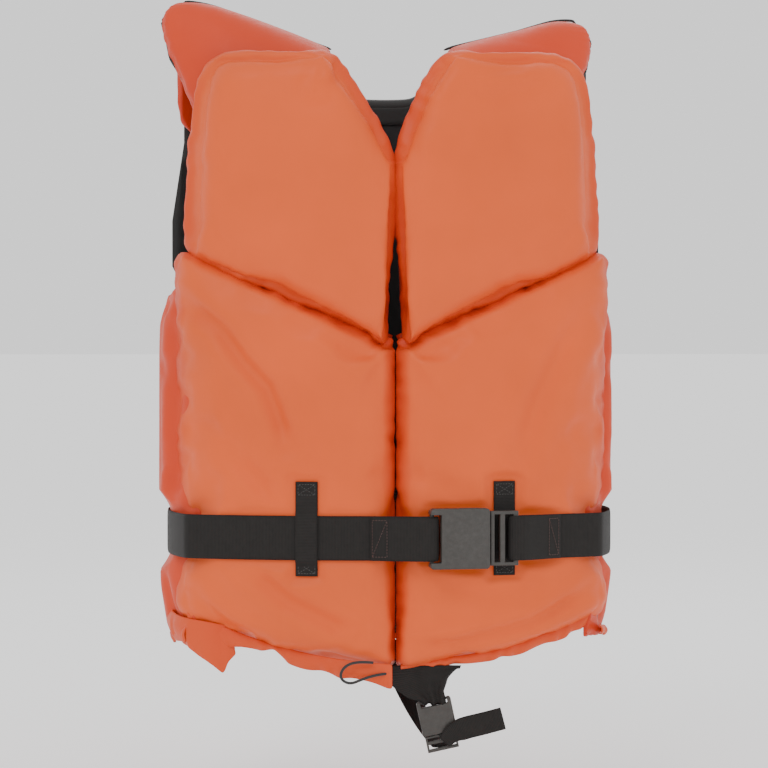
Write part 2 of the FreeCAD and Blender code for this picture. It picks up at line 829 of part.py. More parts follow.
def crotch_tail():
    """The free end of the strap, folded forward out of the plug and to the wearer's left."""
    outline = [
        ("crotch_across + 3", "-(crotch_height + 14)"),
        ("crotch_across + 14", "-(crotch_height - 6)"),
        ("crotch_across + 55", "-(crotch_height - 15)"),
        ("crotch_across + 60", "-(crotch_height + 3)"),
        ("crotch_across + 20", "-(crotch_height + 13)"),
        ("crotch_across + 8", "-(crotch_height + 19)"),
    ]
    tail = common(prism(outline), box((f"-{TALL}", "-crotch_thick", f"-{TALL}"), (str(TALL), "0", "0")))
    place(tail, "0", "-(crotch_front + 3.8)", "0")
    keep(tail, "crotch_tail")


hem_strap()
crotch_strap()
crotch_tail()

# ---------------------------------------------------------------- drawcord


DRAWCORD_ROUTE = [
    (-6, -126.5, -521.0),
    (-17, -131.0, -521.5),
    (-30, -133.0, -525.0),
    (-42, -133.5, -530.0),
    (-51, -133.5, -524.0),
    (-47, -133.5, -514.0),
    (-35, -133.0, -509.5),
    (-21, -132.0, -511.0),
]


def rounded_path(route):
    """Straight runs joined by tangent arcs, and the arcs' radii."""
    points = [Vector(*point) for point in route]
    edges = []
    radii = []
    start = points[0]
    for before, corner, after in zip(points, points[1:], points[2:]):
        into = (corner - before).normalize()
        out = (after - corner).normalize()
        half_turn = into.getAngle(out) / 2
        reach = 0.45 * min((corner - before).Length, (after - corner).Length)
        radii.append(reach / math.tan(half_turn))
        first = corner - into * reach
        last = corner + out * reach
        middle = corner + (out - into).normalize() * radii[-1] * (1 / math.cos(half_turn) - 1)
        edges.append(Part.LineSegment(start, first).toShape())
        edges.append(Part.Arc(first, middle, last).toShape())
        start = last
    edges.append(Part.LineSegment(start, points[-1]).toShape())
    return Part.Wire(edges), radii


def drawcord():
    """The small bow loop of the hem's drawcord, at the foot of the zip."""
    path, radii = rounded_path(DRAWCORD_ROUTE)
    radius = size("cord_diameter") / 2
    start = Vector(*DRAWCORD_ROUTE[0])
    heading = Vector(*DRAWCORD_ROUTE[1]) - start
    section = Part.Wire(Part.makeCircle(radius, start, heading))
    tube = path.makePipeShell([section], True, True)
    cord = doc.addObject("Part::Feature", "Drawcord")
    cord.Shape = tube
    keep(cord, "drawcord_loop")
    share = tube.Volume / (math.pi * radius**2 * path.Length)
    print(f"drawcord: {path.Length:.1f} mm, radii {[round(r, 1) for r in radii]}, volume share {share:.4f}")


drawcord()

# ---------------------------------------------------------------- checks and files

doc.recompute()
for piece in doc.Objects:
    if "Invalid" in piece.State or "Error" in piece.State:
        raise RuntimeError(f"{piece.Name} ({piece.Label}) is {piece.State}")
os.makedirs("parts", exist_ok=True)
for piece in parts:
    if piece.Shape.isNull() or not piece.Shape.isValid():
        raise RuntimeError(f"{piece.Label} has no valid shape")
for piece in parts:
    piece.Shape.exportStep(f"parts/{piece.Label}.step")
print(f"{len(parts)} sub-parts")
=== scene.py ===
"""Looks of the life jacket: padded fabric, webbing, buckles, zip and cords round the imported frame.

Metres, in the frame's own axes: +Z up, front facing -Y, the wearer's right side at -X.
"""
import math

import bmesh
import bpy
import numpy as np
from mathutils import Matrix, Vector


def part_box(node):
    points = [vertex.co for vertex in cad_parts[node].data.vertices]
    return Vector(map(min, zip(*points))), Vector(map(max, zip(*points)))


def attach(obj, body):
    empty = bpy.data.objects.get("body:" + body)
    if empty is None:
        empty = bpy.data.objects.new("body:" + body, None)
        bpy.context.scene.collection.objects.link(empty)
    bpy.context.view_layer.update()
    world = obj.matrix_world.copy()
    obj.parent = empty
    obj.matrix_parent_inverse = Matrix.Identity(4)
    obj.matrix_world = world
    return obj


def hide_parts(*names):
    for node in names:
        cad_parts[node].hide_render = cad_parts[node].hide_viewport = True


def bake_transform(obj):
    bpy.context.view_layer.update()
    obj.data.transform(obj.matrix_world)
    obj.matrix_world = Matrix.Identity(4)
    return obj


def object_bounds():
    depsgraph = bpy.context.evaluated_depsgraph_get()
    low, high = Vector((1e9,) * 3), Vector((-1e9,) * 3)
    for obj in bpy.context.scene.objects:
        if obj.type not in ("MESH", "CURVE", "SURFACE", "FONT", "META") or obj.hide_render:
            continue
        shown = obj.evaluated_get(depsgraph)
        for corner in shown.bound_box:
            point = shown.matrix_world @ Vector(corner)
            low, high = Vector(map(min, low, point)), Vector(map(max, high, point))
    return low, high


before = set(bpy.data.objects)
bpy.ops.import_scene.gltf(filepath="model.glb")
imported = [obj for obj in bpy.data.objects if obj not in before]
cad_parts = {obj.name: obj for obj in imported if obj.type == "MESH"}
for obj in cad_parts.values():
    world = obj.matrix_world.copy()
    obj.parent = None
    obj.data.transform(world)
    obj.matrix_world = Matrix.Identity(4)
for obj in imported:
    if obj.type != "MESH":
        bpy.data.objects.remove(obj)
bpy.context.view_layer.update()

MM = 0.001
SIDES = (("right", 1), ("left", -1))      # the wearer's sides; pieces are drawn on the right, at -X

# ---------------------------------------------------------------- shape of the frame

CURVE = 416 * MM                            # radius of the inner faces of front and back
AXIS = CURVE - 84 * MM                      # how far the centre of the front's arc lies behind the middle
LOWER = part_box("front_cover_right")
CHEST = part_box("chest_cover_right")
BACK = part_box("back_cover")
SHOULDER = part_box("shoulder_cover_right")
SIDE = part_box("side_cover_right")
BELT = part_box("belt_main")
BELT_MID = (BELT[0].z + BELT[1].z) / 2
FRONT_THICK = 45 * MM
CHEST_THICK = 58 * MM
BACK_THICK = 30 * MM
SKIN = CURVE + 1.3 * MM                     # where the padded chambers start
FRONT_SKIN = SKIN + FRONT_THICK


def front_surface(inner=SKIN):
    """Maps (across, up) and depth onto the front, which is round about an upright axis."""
    def surface(place, depth):
        radius = inner + depth
        y = AXIS - np.sqrt(radius**2 - place[:, 0] ** 2)
        return np.column_stack((place[:, 0], y, place[:, 1]))
    return surface


def back_surface(inner=SKIN):
    def surface(place, depth):
        radius = inner + depth
        y = -AXIS + np.sqrt(radius**2 - place[:, 0] ** 2)
        return np.column_stack((place[:, 0], y, place[:, 1]))
    return surface


SIDE_RING = (14 * MM, -8 * MM, 206 * MM)    # centre of the side's arc, and its inner radius


def side_surface(inner=SIDE_RING[2]):
    """Maps (forward to back along the arc, up) and depth onto the wearer's right side."""
    def surface(place, depth):
        angle = place[:, 0] / SIDE_RING[2]
        radius = inner + depth
        x = SIDE_RING[0] - radius * np.cos(angle)
        y = SIDE_RING[1] + radius * np.sin(angle)
        return np.column_stack((x, y, place[:, 1]))
    return surface


SHOULDER_THICK = 20 * MM
ARCH_FOOT = SHOULDER[0].z
ARCH_RISE = math.tan(math.radians(15))
ARCH_RUN = 260 * MM                         # length of the arch from its front foot to its back foot


def arch_point(turn, across):
    """A point of the shoulder arch's outer face. turn runs from 0, front foot, to 1, back foot."""
    depth = np.sqrt((CURVE - 1 * MM) ** 2 - across**2) - AXIS
    top = 21 * MM + 1.35 * ARCH_RISE * np.abs(across)
    top = top - 11 * MM * np.clip((np.abs(across) - 150 * MM) / (50 * MM), 0, 1.2) ** 2
    angle = np.pi * turn
    power = 2 / 2.5
    y = -np.sign(np.cos(angle)) * depth * np.abs(np.cos(angle)) ** power
    z = ARCH_FOOT + (top - ARCH_FOOT) * np.abs(np.sin(angle)) ** power
    return np.column_stack((across, y, z))


def shoulder_surface(place, depth):
    """Maps (along the arch, across) and depth onto the wearer's right shoulder."""
    turn = np.clip(place[:, 0] / ARCH_RUN, 0.002, 0.998)
    step = 0.002
    here = arch_point(turn, place[:, 1])
    along = arch_point(turn + step, place[:, 1]) - arch_point(turn - step, place[:, 1])
    normal = np.cross(along, (1.0, 0.0, 0.0))
    normal /= np.linalg.norm(normal, axis=1)[:, None]
    return here + normal * (SHOULDER_THICK - depth)[:, None]


# ---------------------------------------------------------------- mesh helpers


def new_object(name, points, faces):
    mesh = bpy.data.meshes.new(name)
    mesh.from_pydata([tuple(p) for p in points], [], [tuple(f) for f in faces])
    mesh.update()
    piece = bpy.data.objects.new(name, mesh)
    bpy.context.scene.collection.objects.link(piece)
    return piece


def coordinates(mesh):
    flat = np.empty(len(mesh.vertices) * 3, np.float32)
    mesh.vertices.foreach_get("co", flat)
    return flat.reshape(-1, 3).astype(float)


def set_coordinates(mesh, points):
    mesh.vertices.foreach_set("co", np.asarray(points, np.float32).ravel())
    mesh.update()


def attribute(mesh, name):
    values = np.empty(len(mesh.vertices), np.float32)
    mesh.attributes[name].data.foreach_get("value", values)
    return values.astype(float)


def set_attribute(mesh, name, values):
    layer = mesh.attributes.get(name) or mesh.attributes.new(name, "FLOAT", "POINT")
    layer.data.foreach_set("value", np.asarray(values, np.float32))


def evaluated(piece):
    """Replace a piece's mesh by what its modifiers make of it."""
    graph = bpy.context.evaluated_depsgraph_get()
    graph.update()
    mesh = bpy.data.meshes.new_from_object(piece.evaluated_get(graph))
    piece.modifiers.clear()
    piece.data = mesh
    return piece


def smooth(piece, on=True):
    for polygon in piece.data.polygons:
        polygon.use_smooth = on
    return piece


def outward(mesh):
    """Turn every face of a closed mesh outwards."""
    work = bmesh.new()
    work.from_mesh(mesh)
    bmesh.ops.recalc_face_normals(work, faces=work.faces)
    work.to_mesh(mesh)
    work.free()


def mirrored(piece, name):
    """The same piece on the wearer's other side."""
    copy = piece.copy()
    copy.data = piece.data.copy()
    copy.name = name
    bpy.context.scene.collection.objects.link(copy)
    points = coordinates(copy.data)
    points[:, 0] *= -1
    set_coordinates(copy.data, points)
    copy.data.flip_normals()
    return copy


# ---------------------------------------------------------------- outlines


def round_corners(corners, steps=7):
    """Corners are (x, y, corner radius, roll). Gives the outline's points and the roll at each."""
    places = [np.array(c[:2]) for c in corners]
    outline = []
    rolls = []
    for index, (_, _, radius, roll) in enumerate(corners):
        here = places[index]
        before = places[index - 1]
        after = places[(index + 1) % len(places)]
        back = before - here
        on = after - here
        start = here + back / np.linalg.norm(back) * min(radius, 0.45 * np.linalg.norm(back))
        end = here + on / np.linalg.norm(on) * min(radius, 0.45 * np.linalg.norm(on))
        for t in np.linspace(0, 1, steps):
            outline.append((1 - t) ** 2 * start + 2 * t * (1 - t) * here + t * t * end)
            rolls.append(roll)
    outline = np.array(outline)
    rolls = np.array(rolls)
    following = np.roll(outline, -1, axis=0)
    area = np.sum(outline[:, 0] * following[:, 1] - following[:, 0] * outline[:, 1])
    if area < 0:
        return outline[::-1].copy(), rolls[::-1].copy()
    return outline, rolls


def edge_field(places, outline, rolls):
    """Signed distance inside the outline, place along it as a share, roll, and the way inwards."""
    start = outline
    run = np.roll(outline, -1, axis=0) - start
    length = np.linalg.norm(run, axis=1)
    share = ((places[:, None] - start[None]) * run[None]).sum(2) / length[None] ** 2
    share = np.clip(share, 0, 1)
    foot = start[None] + share[..., None] * run[None]
    gap = np.linalg.norm(places[:, None] - foot, axis=2)
    nearest = gap.argmin(1)
    rows = np.arange(len(places))
    along_edge = share[rows, nearest]
    inward = np.column_stack((-run[:, 1], run[:, 0])) / length[:, None]
    inward = inward[nearest]
    side = ((places - foot[rows, nearest]) * inward).sum(1)
    distance = gap[rows, nearest] * np.where(side < 0, -1, 1)
    total = np.concatenate(([0], np.cumsum(length)))
    along = (total[nearest] + along_edge * length[nearest]) / total[-1]
    after = (nearest + 1) % len(outline)
    roll = rolls[nearest] * (1 - along_edge) + rolls[after] * along_edge
    return distance, along, roll, inward


# ---------------------------------------------------------------- padded forms


def slab(name, outline, thick, voxel):
    """A flat closed slab of even quads, drawn in (across, up) with its thickness along Z."""
    count = len(outline)
    low = [(x, y, 0.0) for x, y in outline]
    high = [(x, y, thick) for x, y in outline]
    faces = [list(range(count))[::-1], [count + i for i in range(count)]]
    for i in range(count):
        j = (i + 1) % count
        faces.append((i, j, count + j, count + i))
    piece = new_object(name, low + high, faces)
    remesh = piece.modifiers.new("Remesh", "REMESH")
    remesh.mode = "VOXEL"
    remesh.voxel_size = voxel
    return evaluated(piece)


def padded_form(name, corners, thick, surface, voxel=5 * MM, crown=0.16, crown_reach=45 * MM,
                bulge=0.0):
    """A closed crowned pad: flat at the back, its front face rolling down to the seam all round."""
    outline, rolls = round_corners(corners)
    piece = slab(name, outline, thick, voxel)
    points = coordinates(piece.data)
    place = points[:, :2].copy()
    level = np.clip(points[:, 2] / thick, 0, 1)
    distance, along, roll, inward = edge_field(place, outline, rolls)
    near = np.clip((roll - distance) / roll, 0, 1)
    power = 2.3
    largest = np.maximum(near, level)
    even = (near**power + level**power) ** (1 / power)
    pull = np.where(even > 1e-6, largest / np.maximum(even, 1e-6), 1)
    place += inward * ((near - near * pull) * roll)[:, None]
    place -= inward * (bulge * near**2 * np.sin(np.pi * np.clip(level * 1.15, 0, 1)) ** 1.5)[:, None]
    puff = 1 - crown * np.exp(-np.maximum(distance, 0) / crown_reach)
    depth = level * pull * thick * puff
    set_coordinates(piece.data, surface(place, depth))
    set_attribute(piece.data, "seam", np.maximum(distance, 0) + level * roll * 0.8)
    set_attribute(piece.data, "along", along)
    set_attribute(piece.data, "level", level)
    set_attribute(piece.data, "across", place[:, 0])
    set_attribute(piece.data, "up", place[:, 1])
    outward(piece.data)
    return piece


def cloth(piece, pressure=4.0, cap=8 * MM, grow=0.02, bend=1.5, held=0.12):
    """Blow the fabric up over its foam by a cloth simulation, held along its back."""
    rest = coordinates(piece.data)
    level = attribute(piece.data, "level")
    group = piece.vertex_groups.new(name="held")
    group.add([int(i) for i in np.nonzero(level < held)[0]], 1.0, "REPLACE")
    modifier = piece.modifiers.new("Cloth", "CLOTH")
    settings = modifier.settings
    settings.quality = 5
    settings.mass = 0.2
    settings.tension_stiffness = 20
    settings.compression_stiffness = 12
    settings.shear_stiffness = 8
    settings.bending_stiffness = bend
    settings.vertex_group_mass = "held"
    settings.use_pressure = True
    settings.uniform_pressure_force = pressure
    settings.shrink_min = -grow
    settings.effector_weights.gravity = 0
    modifier.collision_settings.use_collision = False
    modifier.point_cache.frame_start = 1
    modifier.point_cache.frame_end = 20
    scene = bpy.context.scene
    for step in range(1, 21):
        scene.frame_set(step)
    evaluated(piece)
    scene.frame_set(1)
    moved = coordinates(piece.data) - rest
    far = np.linalg.norm(moved, axis=1)
    moved *= np.minimum(1, cap / np.maximum(far, 1e-9))[:, None]
    set_coordinates(piece.data, rest + moved)
    piece.vertex_groups.clear()
    return piece


def subdivided(piece, levels=1):
    modifier = piece.modifiers.new("Smooth", "SUBSURF")
    modifier.levels = levels
    modifier.render_levels = levels
    evaluated(piece)
    return smooth(piece)


def normals(mesh):
    flat = np.empty(len(mesh.vertices) * 3, np.float32)
    mesh.vertex_normals.foreach_get("vector", flat)
    return flat.reshape(-1, 3).astype(float)


def away_from(places, line):
    """Distance from each place to a line of straight runs."""
    best = np.full(len(places), 1e9)
    for start, end in zip(line, line[1:]):
        start = np.array(start)
        run = np.array(end) - start
        share = np.clip(((places - start) @ run) / (run @ run), 0, 1)
        gap = np.linalg.norm(places - (start + share[:, None] * run), axis=1)
        best = np.minimum(best, gap)
    return best


def fade_ends(places, line, reach):
    """1 along a line and 0 near its two ends."""
    first = np.linalg.norm(places - np.array(line[0]), axis=1)
    last = np.linalg.norm(places - np.array(line[-1]), axis=1)
    nearest = np.minimum(first, last)
    return np.clip(nearest / reach, 0, 1)


def dent(piece, creases):
    """Press soft creases into a pad's front. Each is (line, depth, width, ridge)."""
    mesh = piece.data
    points = coordinates(mesh)
    place = np.column_stack((attribute(mesh, "across"), attribute(mesh, "up")))
    level = np.clip((attribute(mesh, "level") - 0.3) / 0.4, 0, 1)
    move = np.zeros(len(points))
    for line, depth, width, ridge in creases:
        gap = away_from(place, line)
        fade = fade_ends(place, line, width * 2.5)
        move -= depth * np.exp(-((gap / width) ** 2)) * fade
        move += ridge * np.exp(-(((gap - 2 * width) / (1.2 * width)) ** 2)) * fade
    set_coordinates(mesh, points + normals(mesh) * (move * level)[:, None])
    return piece


def pucker(piece, waves, height, reach=12 * MM, phase=0.0):
    """Gathers along the seam, which fade into the pad."""
    mesh = piece.data
    along = attribute(mesh, "along")
    seam = attribute(mesh, "seam")
    level = attribute(mesh, "level")
    turn = 2 * np.pi * along
    wave = np.sin(waves * turn + 2.1 * np.sin(5 * turn + phase) + phase)
    wave *= 0.6 + 0.4 * np.sin(11 * turn + 2 * phase)
    start = np.clip(seam / (3 * MM), 0, 1)
    height = height * wave * start * np.exp(-seam / reach) * np.clip(level * 4, 0, 1)
    set_coordinates(mesh, coordinates(mesh) + normals(mesh) * height[:, None])
    return piece

# ---------------------------------------------------------------- stage, light and camera

VIEW_AZIMUTH = -3.3
VIEW_ELEVATION = 1.0
VIEW_DISTANCE = 2.6
VIEW_CENTRE = Vector((-4 * MM, 0, -269 * MM))
VIEW_WIDTH = 708 * MM                       # what the frame spans at the origin's depth


def camera():
    data = bpy.data.cameras.new("Camera")
    data.lens = data.sensor_width * VIEW_DISTANCE / VIEW_WIDTH
    cam = bpy.data.objects.new("Camera", data)
    azimuth = math.radians(VIEW_AZIMUTH)
    elevation = math.radians(VIEW_ELEVATION)
    back = Vector((math.sin(azimuth) * math.cos(elevation), -math.cos(azimuth) * math.cos(elevation),
                   math.sin(elevation)))
    cam.location = VIEW_CENTRE + back * VIEW_DISTANCE
    cam.rotation_euler = (-back).to_track_quat("-Z", "Y").to_euler()
    bpy.context.scene.collection.objects.link(cam)
    bpy.context.scene.camera = cam


def area_light(name, place, power, size):
    data = bpy.data.lights.new(name, "AREA")
    data.energy = power
    data.size = size
    light = bpy.data.objects.new(name, data)
    light.location = place
    light.rotation_euler = (VIEW_CENTRE - Vector(place)).to_track_quat("-Z", "Y").to_euler()
    bpy.context.scene.collection.objects.link(light)


def studio():
    world = bpy.data.worlds.new("World")
    world.use_nodes = True
    background = world.node_tree.nodes["Background"]
    background.inputs["Color"].default_value = (1.0, 1.0, 1.0, 1)
    background.inputs["Strength"].default_value = 1.15
    bpy.context.scene.world = world
    area_light("key", (-0.9, -1.9, 1.6), 14, 0.9)
    area_light("fill", (1.6, -1.8, 0.2), 3, 1.6)
    area_light("rim", (0.4, 1.8, 1.5), 8, 1.2)
    reach = 60.0
    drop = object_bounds()[0].z - 60 * MM
    floor = new_object("floor", [(x * reach, y * reach, drop) for x, y in ((-1, -1), (1, -1), (1, 1), (-1, 1))],
                       [(0, 1, 2, 3)])
    pale = Nodes("floor_pale")
    pale.set(Base_Color=(0.9, 0.9, 0.9, 1), Roughness=0.9, Emission_Color=(1, 1, 1, 1), Emission_Strength=0.25)
    floor.data.materials.append(pale.material)


# ---------------------------------------------------------------- materials


class Nodes:
    """Short calls for building one material's nodes."""

    def __init__(self, name):
        self.material = bpy.data.materials.new(name)
        self.material.use_nodes = True
        self.tree = self.material.node_tree
        self.shader = self.tree.nodes["Principled BSDF"]

    def add(self, kind, **settings):
        node = self.tree.nodes.new(kind)
        for key, value in settings.items():
            setattr(node, key, value)
        return node

    def link(self, out, into):
        self.tree.links.new(out, into)

    def value(self, node, **inputs):
        for key, value in inputs.items():
            node.inputs[key.replace("_", " ")].default_value = value
        return node

    def set(self, **inputs):
        for key, value in inputs.items():
            self.shader.inputs[key.replace("_", " ")].default_value = value

    def noise(self, coordinates_from, scale, detail=3.0, roughness=0.5):
        node = self.add("ShaderNodeTexNoise")
        node.inputs["Scale"].default_value = scale
        node.inputs["Detail"].default_value = detail
        node.inputs["Roughness"].default_value = roughness
        self.link(coordinates_from, node.inputs["Vector"])
        return node.outputs["Fac"]

    def ramp(self, source, stops):
        node = self.add("ShaderNodeValToRGB")
        elements = node.color_ramp.elements
        while len(elements) < len(stops):
            elements.new(0.5)
        for element, (position, color) in zip(elements, stops):
            element.position = position
            element.color = (*color, 1)
        self.link(source, node.inputs["Fac"])
        return node.outputs["Color"]

    def math(self, operation, first, second):
        node = self.add("ShaderNodeMath", operation=operation)
        for index, source in enumerate((first, second)):
            if isinstance(source, (int, float)):
                node.inputs[index].default_value = source
            else:
                self.link(source, node.inputs[index])
        return node.outputs[0]

    def bump(self, height, strength, distance, before=None):
        node = self.add("ShaderNodeBump")
        node.inputs["Strength"].default_value = strength
        node.inputs["Distance"].default_value = distance
        self.link(height, node.inputs["Height"])
        if before is not None:
            self.link(before, node.inputs["Normal"])
        return node.outputs["Normal"]

    def mix(self, share, first, second):
        node = self.add("ShaderNodeMix", data_type="RGBA")
        for key, source in ((0, share), (6, first), (7, second)):
            if isinstance(source, (int, float, tuple)):
                node.inputs[key].default_value = source
            else:
                self.link(source, node.inputs[key])
        return node.outputs[2]


def object_place(made):
    return made.add("ShaderNodeTexCoord").outputs["Object"]


def weave_height(made, place, pitch):
    """Threads over and under, laid across the face that is seen: X or Y against Z."""
    split = made.add("ShaderNodeSeparateXYZ")
    made.link(place, split.inputs[0])
    around = made.math("ADD", split.outputs["X"], split.outputs["Y"])
    over = made.math("SINE", made.math("MULTIPLY", around, 2 * math.pi / pitch), 0.0)
    up = made.math("SINE", made.math("MULTIPLY", split.outputs["Z"], 2 * math.pi / pitch), 0.0)
    return made.math("MULTIPLY", over, up)


def shell_material(name, color, shade):
    """Coated nylon: a fine weave, soft rumples, a little shine, darker towards the seams as painted shade in the
    creases.
    """
    made = Nodes(name)
    place = object_place(made)
    broad = made.noise(place, 9, 3, 0.55)
    fine = made.noise(place, 90, 4, 0.6)
    tint = made.ramp(broad, [(0.3, tuple(c * 0.93 for c in color)), (0.7, tuple(min(1, c * 1.05) for c in color))])
    seam = made.add("ShaderNodeAttribute", attribute_name="seam")
    # Painted shade: near the seams the colour turns to the shade colour, where the pads roll down into creases.
    edge = made.ramp(made.math("MULTIPLY", seam.outputs["Fac"], 1 / (16 * MM)), [(0.0, (1, 1, 1)), (1.0, (0, 0, 0))])
    colored = made.mix(edge, tint, (*shade, 1))
    made.link(colored, made.shader.inputs["Base Color"])
    rough = made.ramp(fine, [(0.25, (0.42,) * 3), (0.75, (0.56,) * 3)])
    made.link(rough, made.shader.inputs["Roughness"])
    rumple = made.bump(made.noise(place, 28, 2, 0.4), 0.35, 1.6 * MM)
    wrinkle = made.bump(made.noise(place, 75, 3, 0.5), 0.25, 0.5 * MM, rumple)
    weave = made.bump(weave_height(made, place, 0.9 * MM), 0.12, 0.12 * MM, wrinkle)
    made.link(weave, made.shader.inputs["Normal"])
    made.set(Sheen_Weight=0.02, Sheen_Roughness=0.45, Specular_IOR_Level=0.25)
    made.set(Sheen_Tint=(1.0, 0.75, 0.6, 1))
    return made.material


def lining_material():
    made = Nodes("lining_nylon")
    place = object_place(made)
    tone = made.ramp(made.noise(place, 14, 4, 0.6), [(0.3, (0.008, 0.008, 0.009)), (0.75, (0.022, 0.021, 0.02))])
    made.link(tone, made.shader.inputs["Base Color"])
    folds = made.bump(made.noise(place, 35, 3, 0.5), 0.4, 1.5 * MM)
    made.link(made.bump(weave_height(made, place, 1.0 * MM), 0.3, 0.15 * MM, folds), made.shader.inputs["Normal"])
    made.set(Roughness=0.62, Sheen_Weight=0.1, Sheen_Roughness=0.4)
    return made.material


def webbing_material(name, color=(0.0085, 0.0072, 0.0065)):
    """Woven strap: chevron ribs along it, cross picks and lint, with the raised threads paler as a painted highlight.
    It reads UVs in metres.
    """
    made = Nodes(name)
    flat = made.add("ShaderNodeUVMap").outputs["UV"]
    split = made.add("ShaderNodeSeparateXYZ")
    made.link(flat, split.inputs[0])
    along = split.outputs["X"]
    across = split.outputs["Y"]
    ribs = made.math("SINE", made.math("MULTIPLY", across, 2 * math.pi / (2.2 * MM)), 0.0)
    zigzag = made.math("ABSOLUTE", ribs, 0.0)
    picks = made.math("ADD", made.math("MULTIPLY", along, 2 * math.pi / (1.3 * MM)), made.math("MULTIPLY", zigzag, 2.2))
    threads = made.math("MULTIPLY", made.math("SINE", picks, 0.0), made.math("ADD", zigzag, 0.35))
    place = object_place(made)
    lint = made.noise(place, 160, 4, 0.7)
    tone = made.ramp(lint, [(0.35, tuple(c * 0.7 for c in color)), (0.8, tuple(c * 1.9 for c in color))])
    # Painted highlight: the raised threads are coloured paler than the rest of the strap.
    lit = made.ramp(made.math("MULTIPLY_ADD", threads, 0.5), [(0.0, (0, 0, 0)), (1.0, (1, 1, 1))])
    paler = made.mix(lit, tone, tuple(c * 2.3 for c in color) + (1,))
    made.link(paler, made.shader.inputs["Base Color"])
    soft = made.bump(made.noise(place, 60, 2, 0.5), 0.2, 0.6 * MM)
    made.link(made.bump(threads, 0.5, 0.25 * MM, soft), made.shader.inputs["Normal"])
    made.set(Roughness=0.6, Sheen_Weight=0.02, Sheen_Roughness=0.4, Specular_IOR_Level=0.22)
    return made.material


def plastic_material(name, color, roughness=0.38):
    """Moulded plastic: fine spark texture, soft gloss changes and scuffs."""
    made = Nodes(name)
    place = object_place(made)
    scuff = made.noise(place, 220, 5, 0.7)
    tone = made.ramp(scuff, [(0.4, color), (0.85, tuple(c * 1.5 for c in color))])
    made.link(tone, made.shader.inputs["Base Color"])
    gloss = made.ramp(made.noise(place, 40, 3, 0.6), [(0.3, (roughness - 0.06,) * 3), (0.7, (roughness + 0.1,) * 3)])
    made.link(gloss, made.shader.inputs["Roughness"])
    made.link(made.bump(made.noise(place, 1600, 2, 0.5), 0.25, 0.06 * MM), made.shader.inputs["Normal"])
    made.set(Specular_IOR_Level=0.32)
    return made.material


def thread_material(name, color):
    made = Nodes(name)
    place = object_place(made)
    made.link(made.ramp(made.noise(place, 900, 3, 0.6), [(0.3, tuple(c * 0.8 for c in color)), (0.7, color)]),
              made.shader.inputs["Base Color"])
    made.link(made.bump(made.noise(place, 1800, 2, 0.5), 0.4, 0.1 * MM), made.shader.inputs["Normal"])
    made.set(Roughness=0.7, Sheen_Weight=0.2)
    return made.material


ORANGE = (0.76, 0.104, 0.019)
# The colour of the painted shade at the shell fabric's seams and creases.
ORANGE_PAINTED_SHADE = (0.56, 0.036, 0.010)

camera()
studio()
SHELL = shell_material("shell_nylon", ORANGE, ORANGE_PAINTED_SHADE)
LINING = lining_material()
WEBBING = webbing_material("webbing_black")
PLASTIC = plastic_material("buckle_plastic", (0.050, 0.046, 0.042))
ZIP_PLASTIC = plastic_material("zip_plastic", (0.02, 0.02, 0.02))
THREAD_ORANGE = thread_material("thread_orange", (0.62, 0.13, 0.045))
THREAD_BLACK = thread_material("thread_black", (0.05, 0.048, 0.045))
CORD = thread_material("cord_black", (0.02, 0.019, 0.018))
BINDING = thread_material("binding_black", (0.016, 0.015, 0.014))
THREAD_BROWN = thread_material("thread_brown", (0.09, 0.035, 0.028))
TAPE = thread_material("zip_tape", (0.02, 0.019, 0.018))


def dress(piece, material, body, slot_name, *replaced):
    """Give a piece its material and its body, and hide the CAD nodes that it stands for; the slot name is not used."""
    piece.data.materials.clear()
    piece.data.materials.append(material)
    if body:
        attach(piece, body)
    if replaced:
        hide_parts(*replaced)
    return piece


# ---------------------------------------------------------------- pads


def pressed(piece, middle, inner, zones):
    """Hold a pad down under straps. Zones are (low x, high x, low z, high z, greatest depth)."""
    mesh = piece.data
    points = coordinates(mesh)
    away = points[:, :2] - np.array(middle)
    radius = np.linalg.norm(away, axis=1)
    depth = radius - inner
    for low_x, high_x, low_z, high_z, limit in zones:
        out_x = np.maximum(np.maximum(low_x - points[:, 0], points[:, 0] - high_x), 0)
        out_z = np.maximum(np.maximum(low_z - points[:, 2], points[:, 2] - high_z), 0)
        out = np.hypot(out_x, out_z)
        ceiling = limit + out * 0.45 + out**2 * 12
        depth = np.where(depth > ceiling, ceiling, depth)
    points[:, :2] = np.array(middle) + away * ((inner + depth) / radius)[:, None]
    set_coordinates(mesh, points)
    return piece


BELT_HALF = 21.5 * MM
LOOP_SPAN = (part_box("belt_loop_left")[0].z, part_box("belt_loop_left")[1].z)
LOOPS = {"right": -79 * MM, "left": 95 * MM}
LOOP_HALF = 11.5 * MM
WIDE = 0.4


def strap_zones(depth, loops):
    """Where the belt and its loops press on a pad that is so deep."""
    zones = [(-WIDE, WIDE, BELT_MID - BELT_HALF, BELT_MID + BELT_HALF, depth - 0.3 * MM)]
    for across in loops:
        zones.append((across - LOOP_HALF, across + LOOP_HALF, LOOP_SPAN[0] - 1 * MM, LOOP_SPAN[1] + 1 * MM,
                      depth - 0.2 * MM))
    return zones


def overhang(piece):
    """Let a chest block's foot hang a little over the lower panel."""
    points = coordinates(piece.data)
    up = attribute(piece.data, "up")
    foot = -232 * MM + np.abs(attribute(piece.data, "across")) * 0.468
    share = np.clip(1 - (up - foot) / (45 * MM), 0, 1) ** 2
    level = np.clip(attribute(piece.data, "level") * 1.6 - 0.2, 0, 1)
    points[:, 2] -= 5 * MM * share * level
    set_coordinates(piece.data, points)


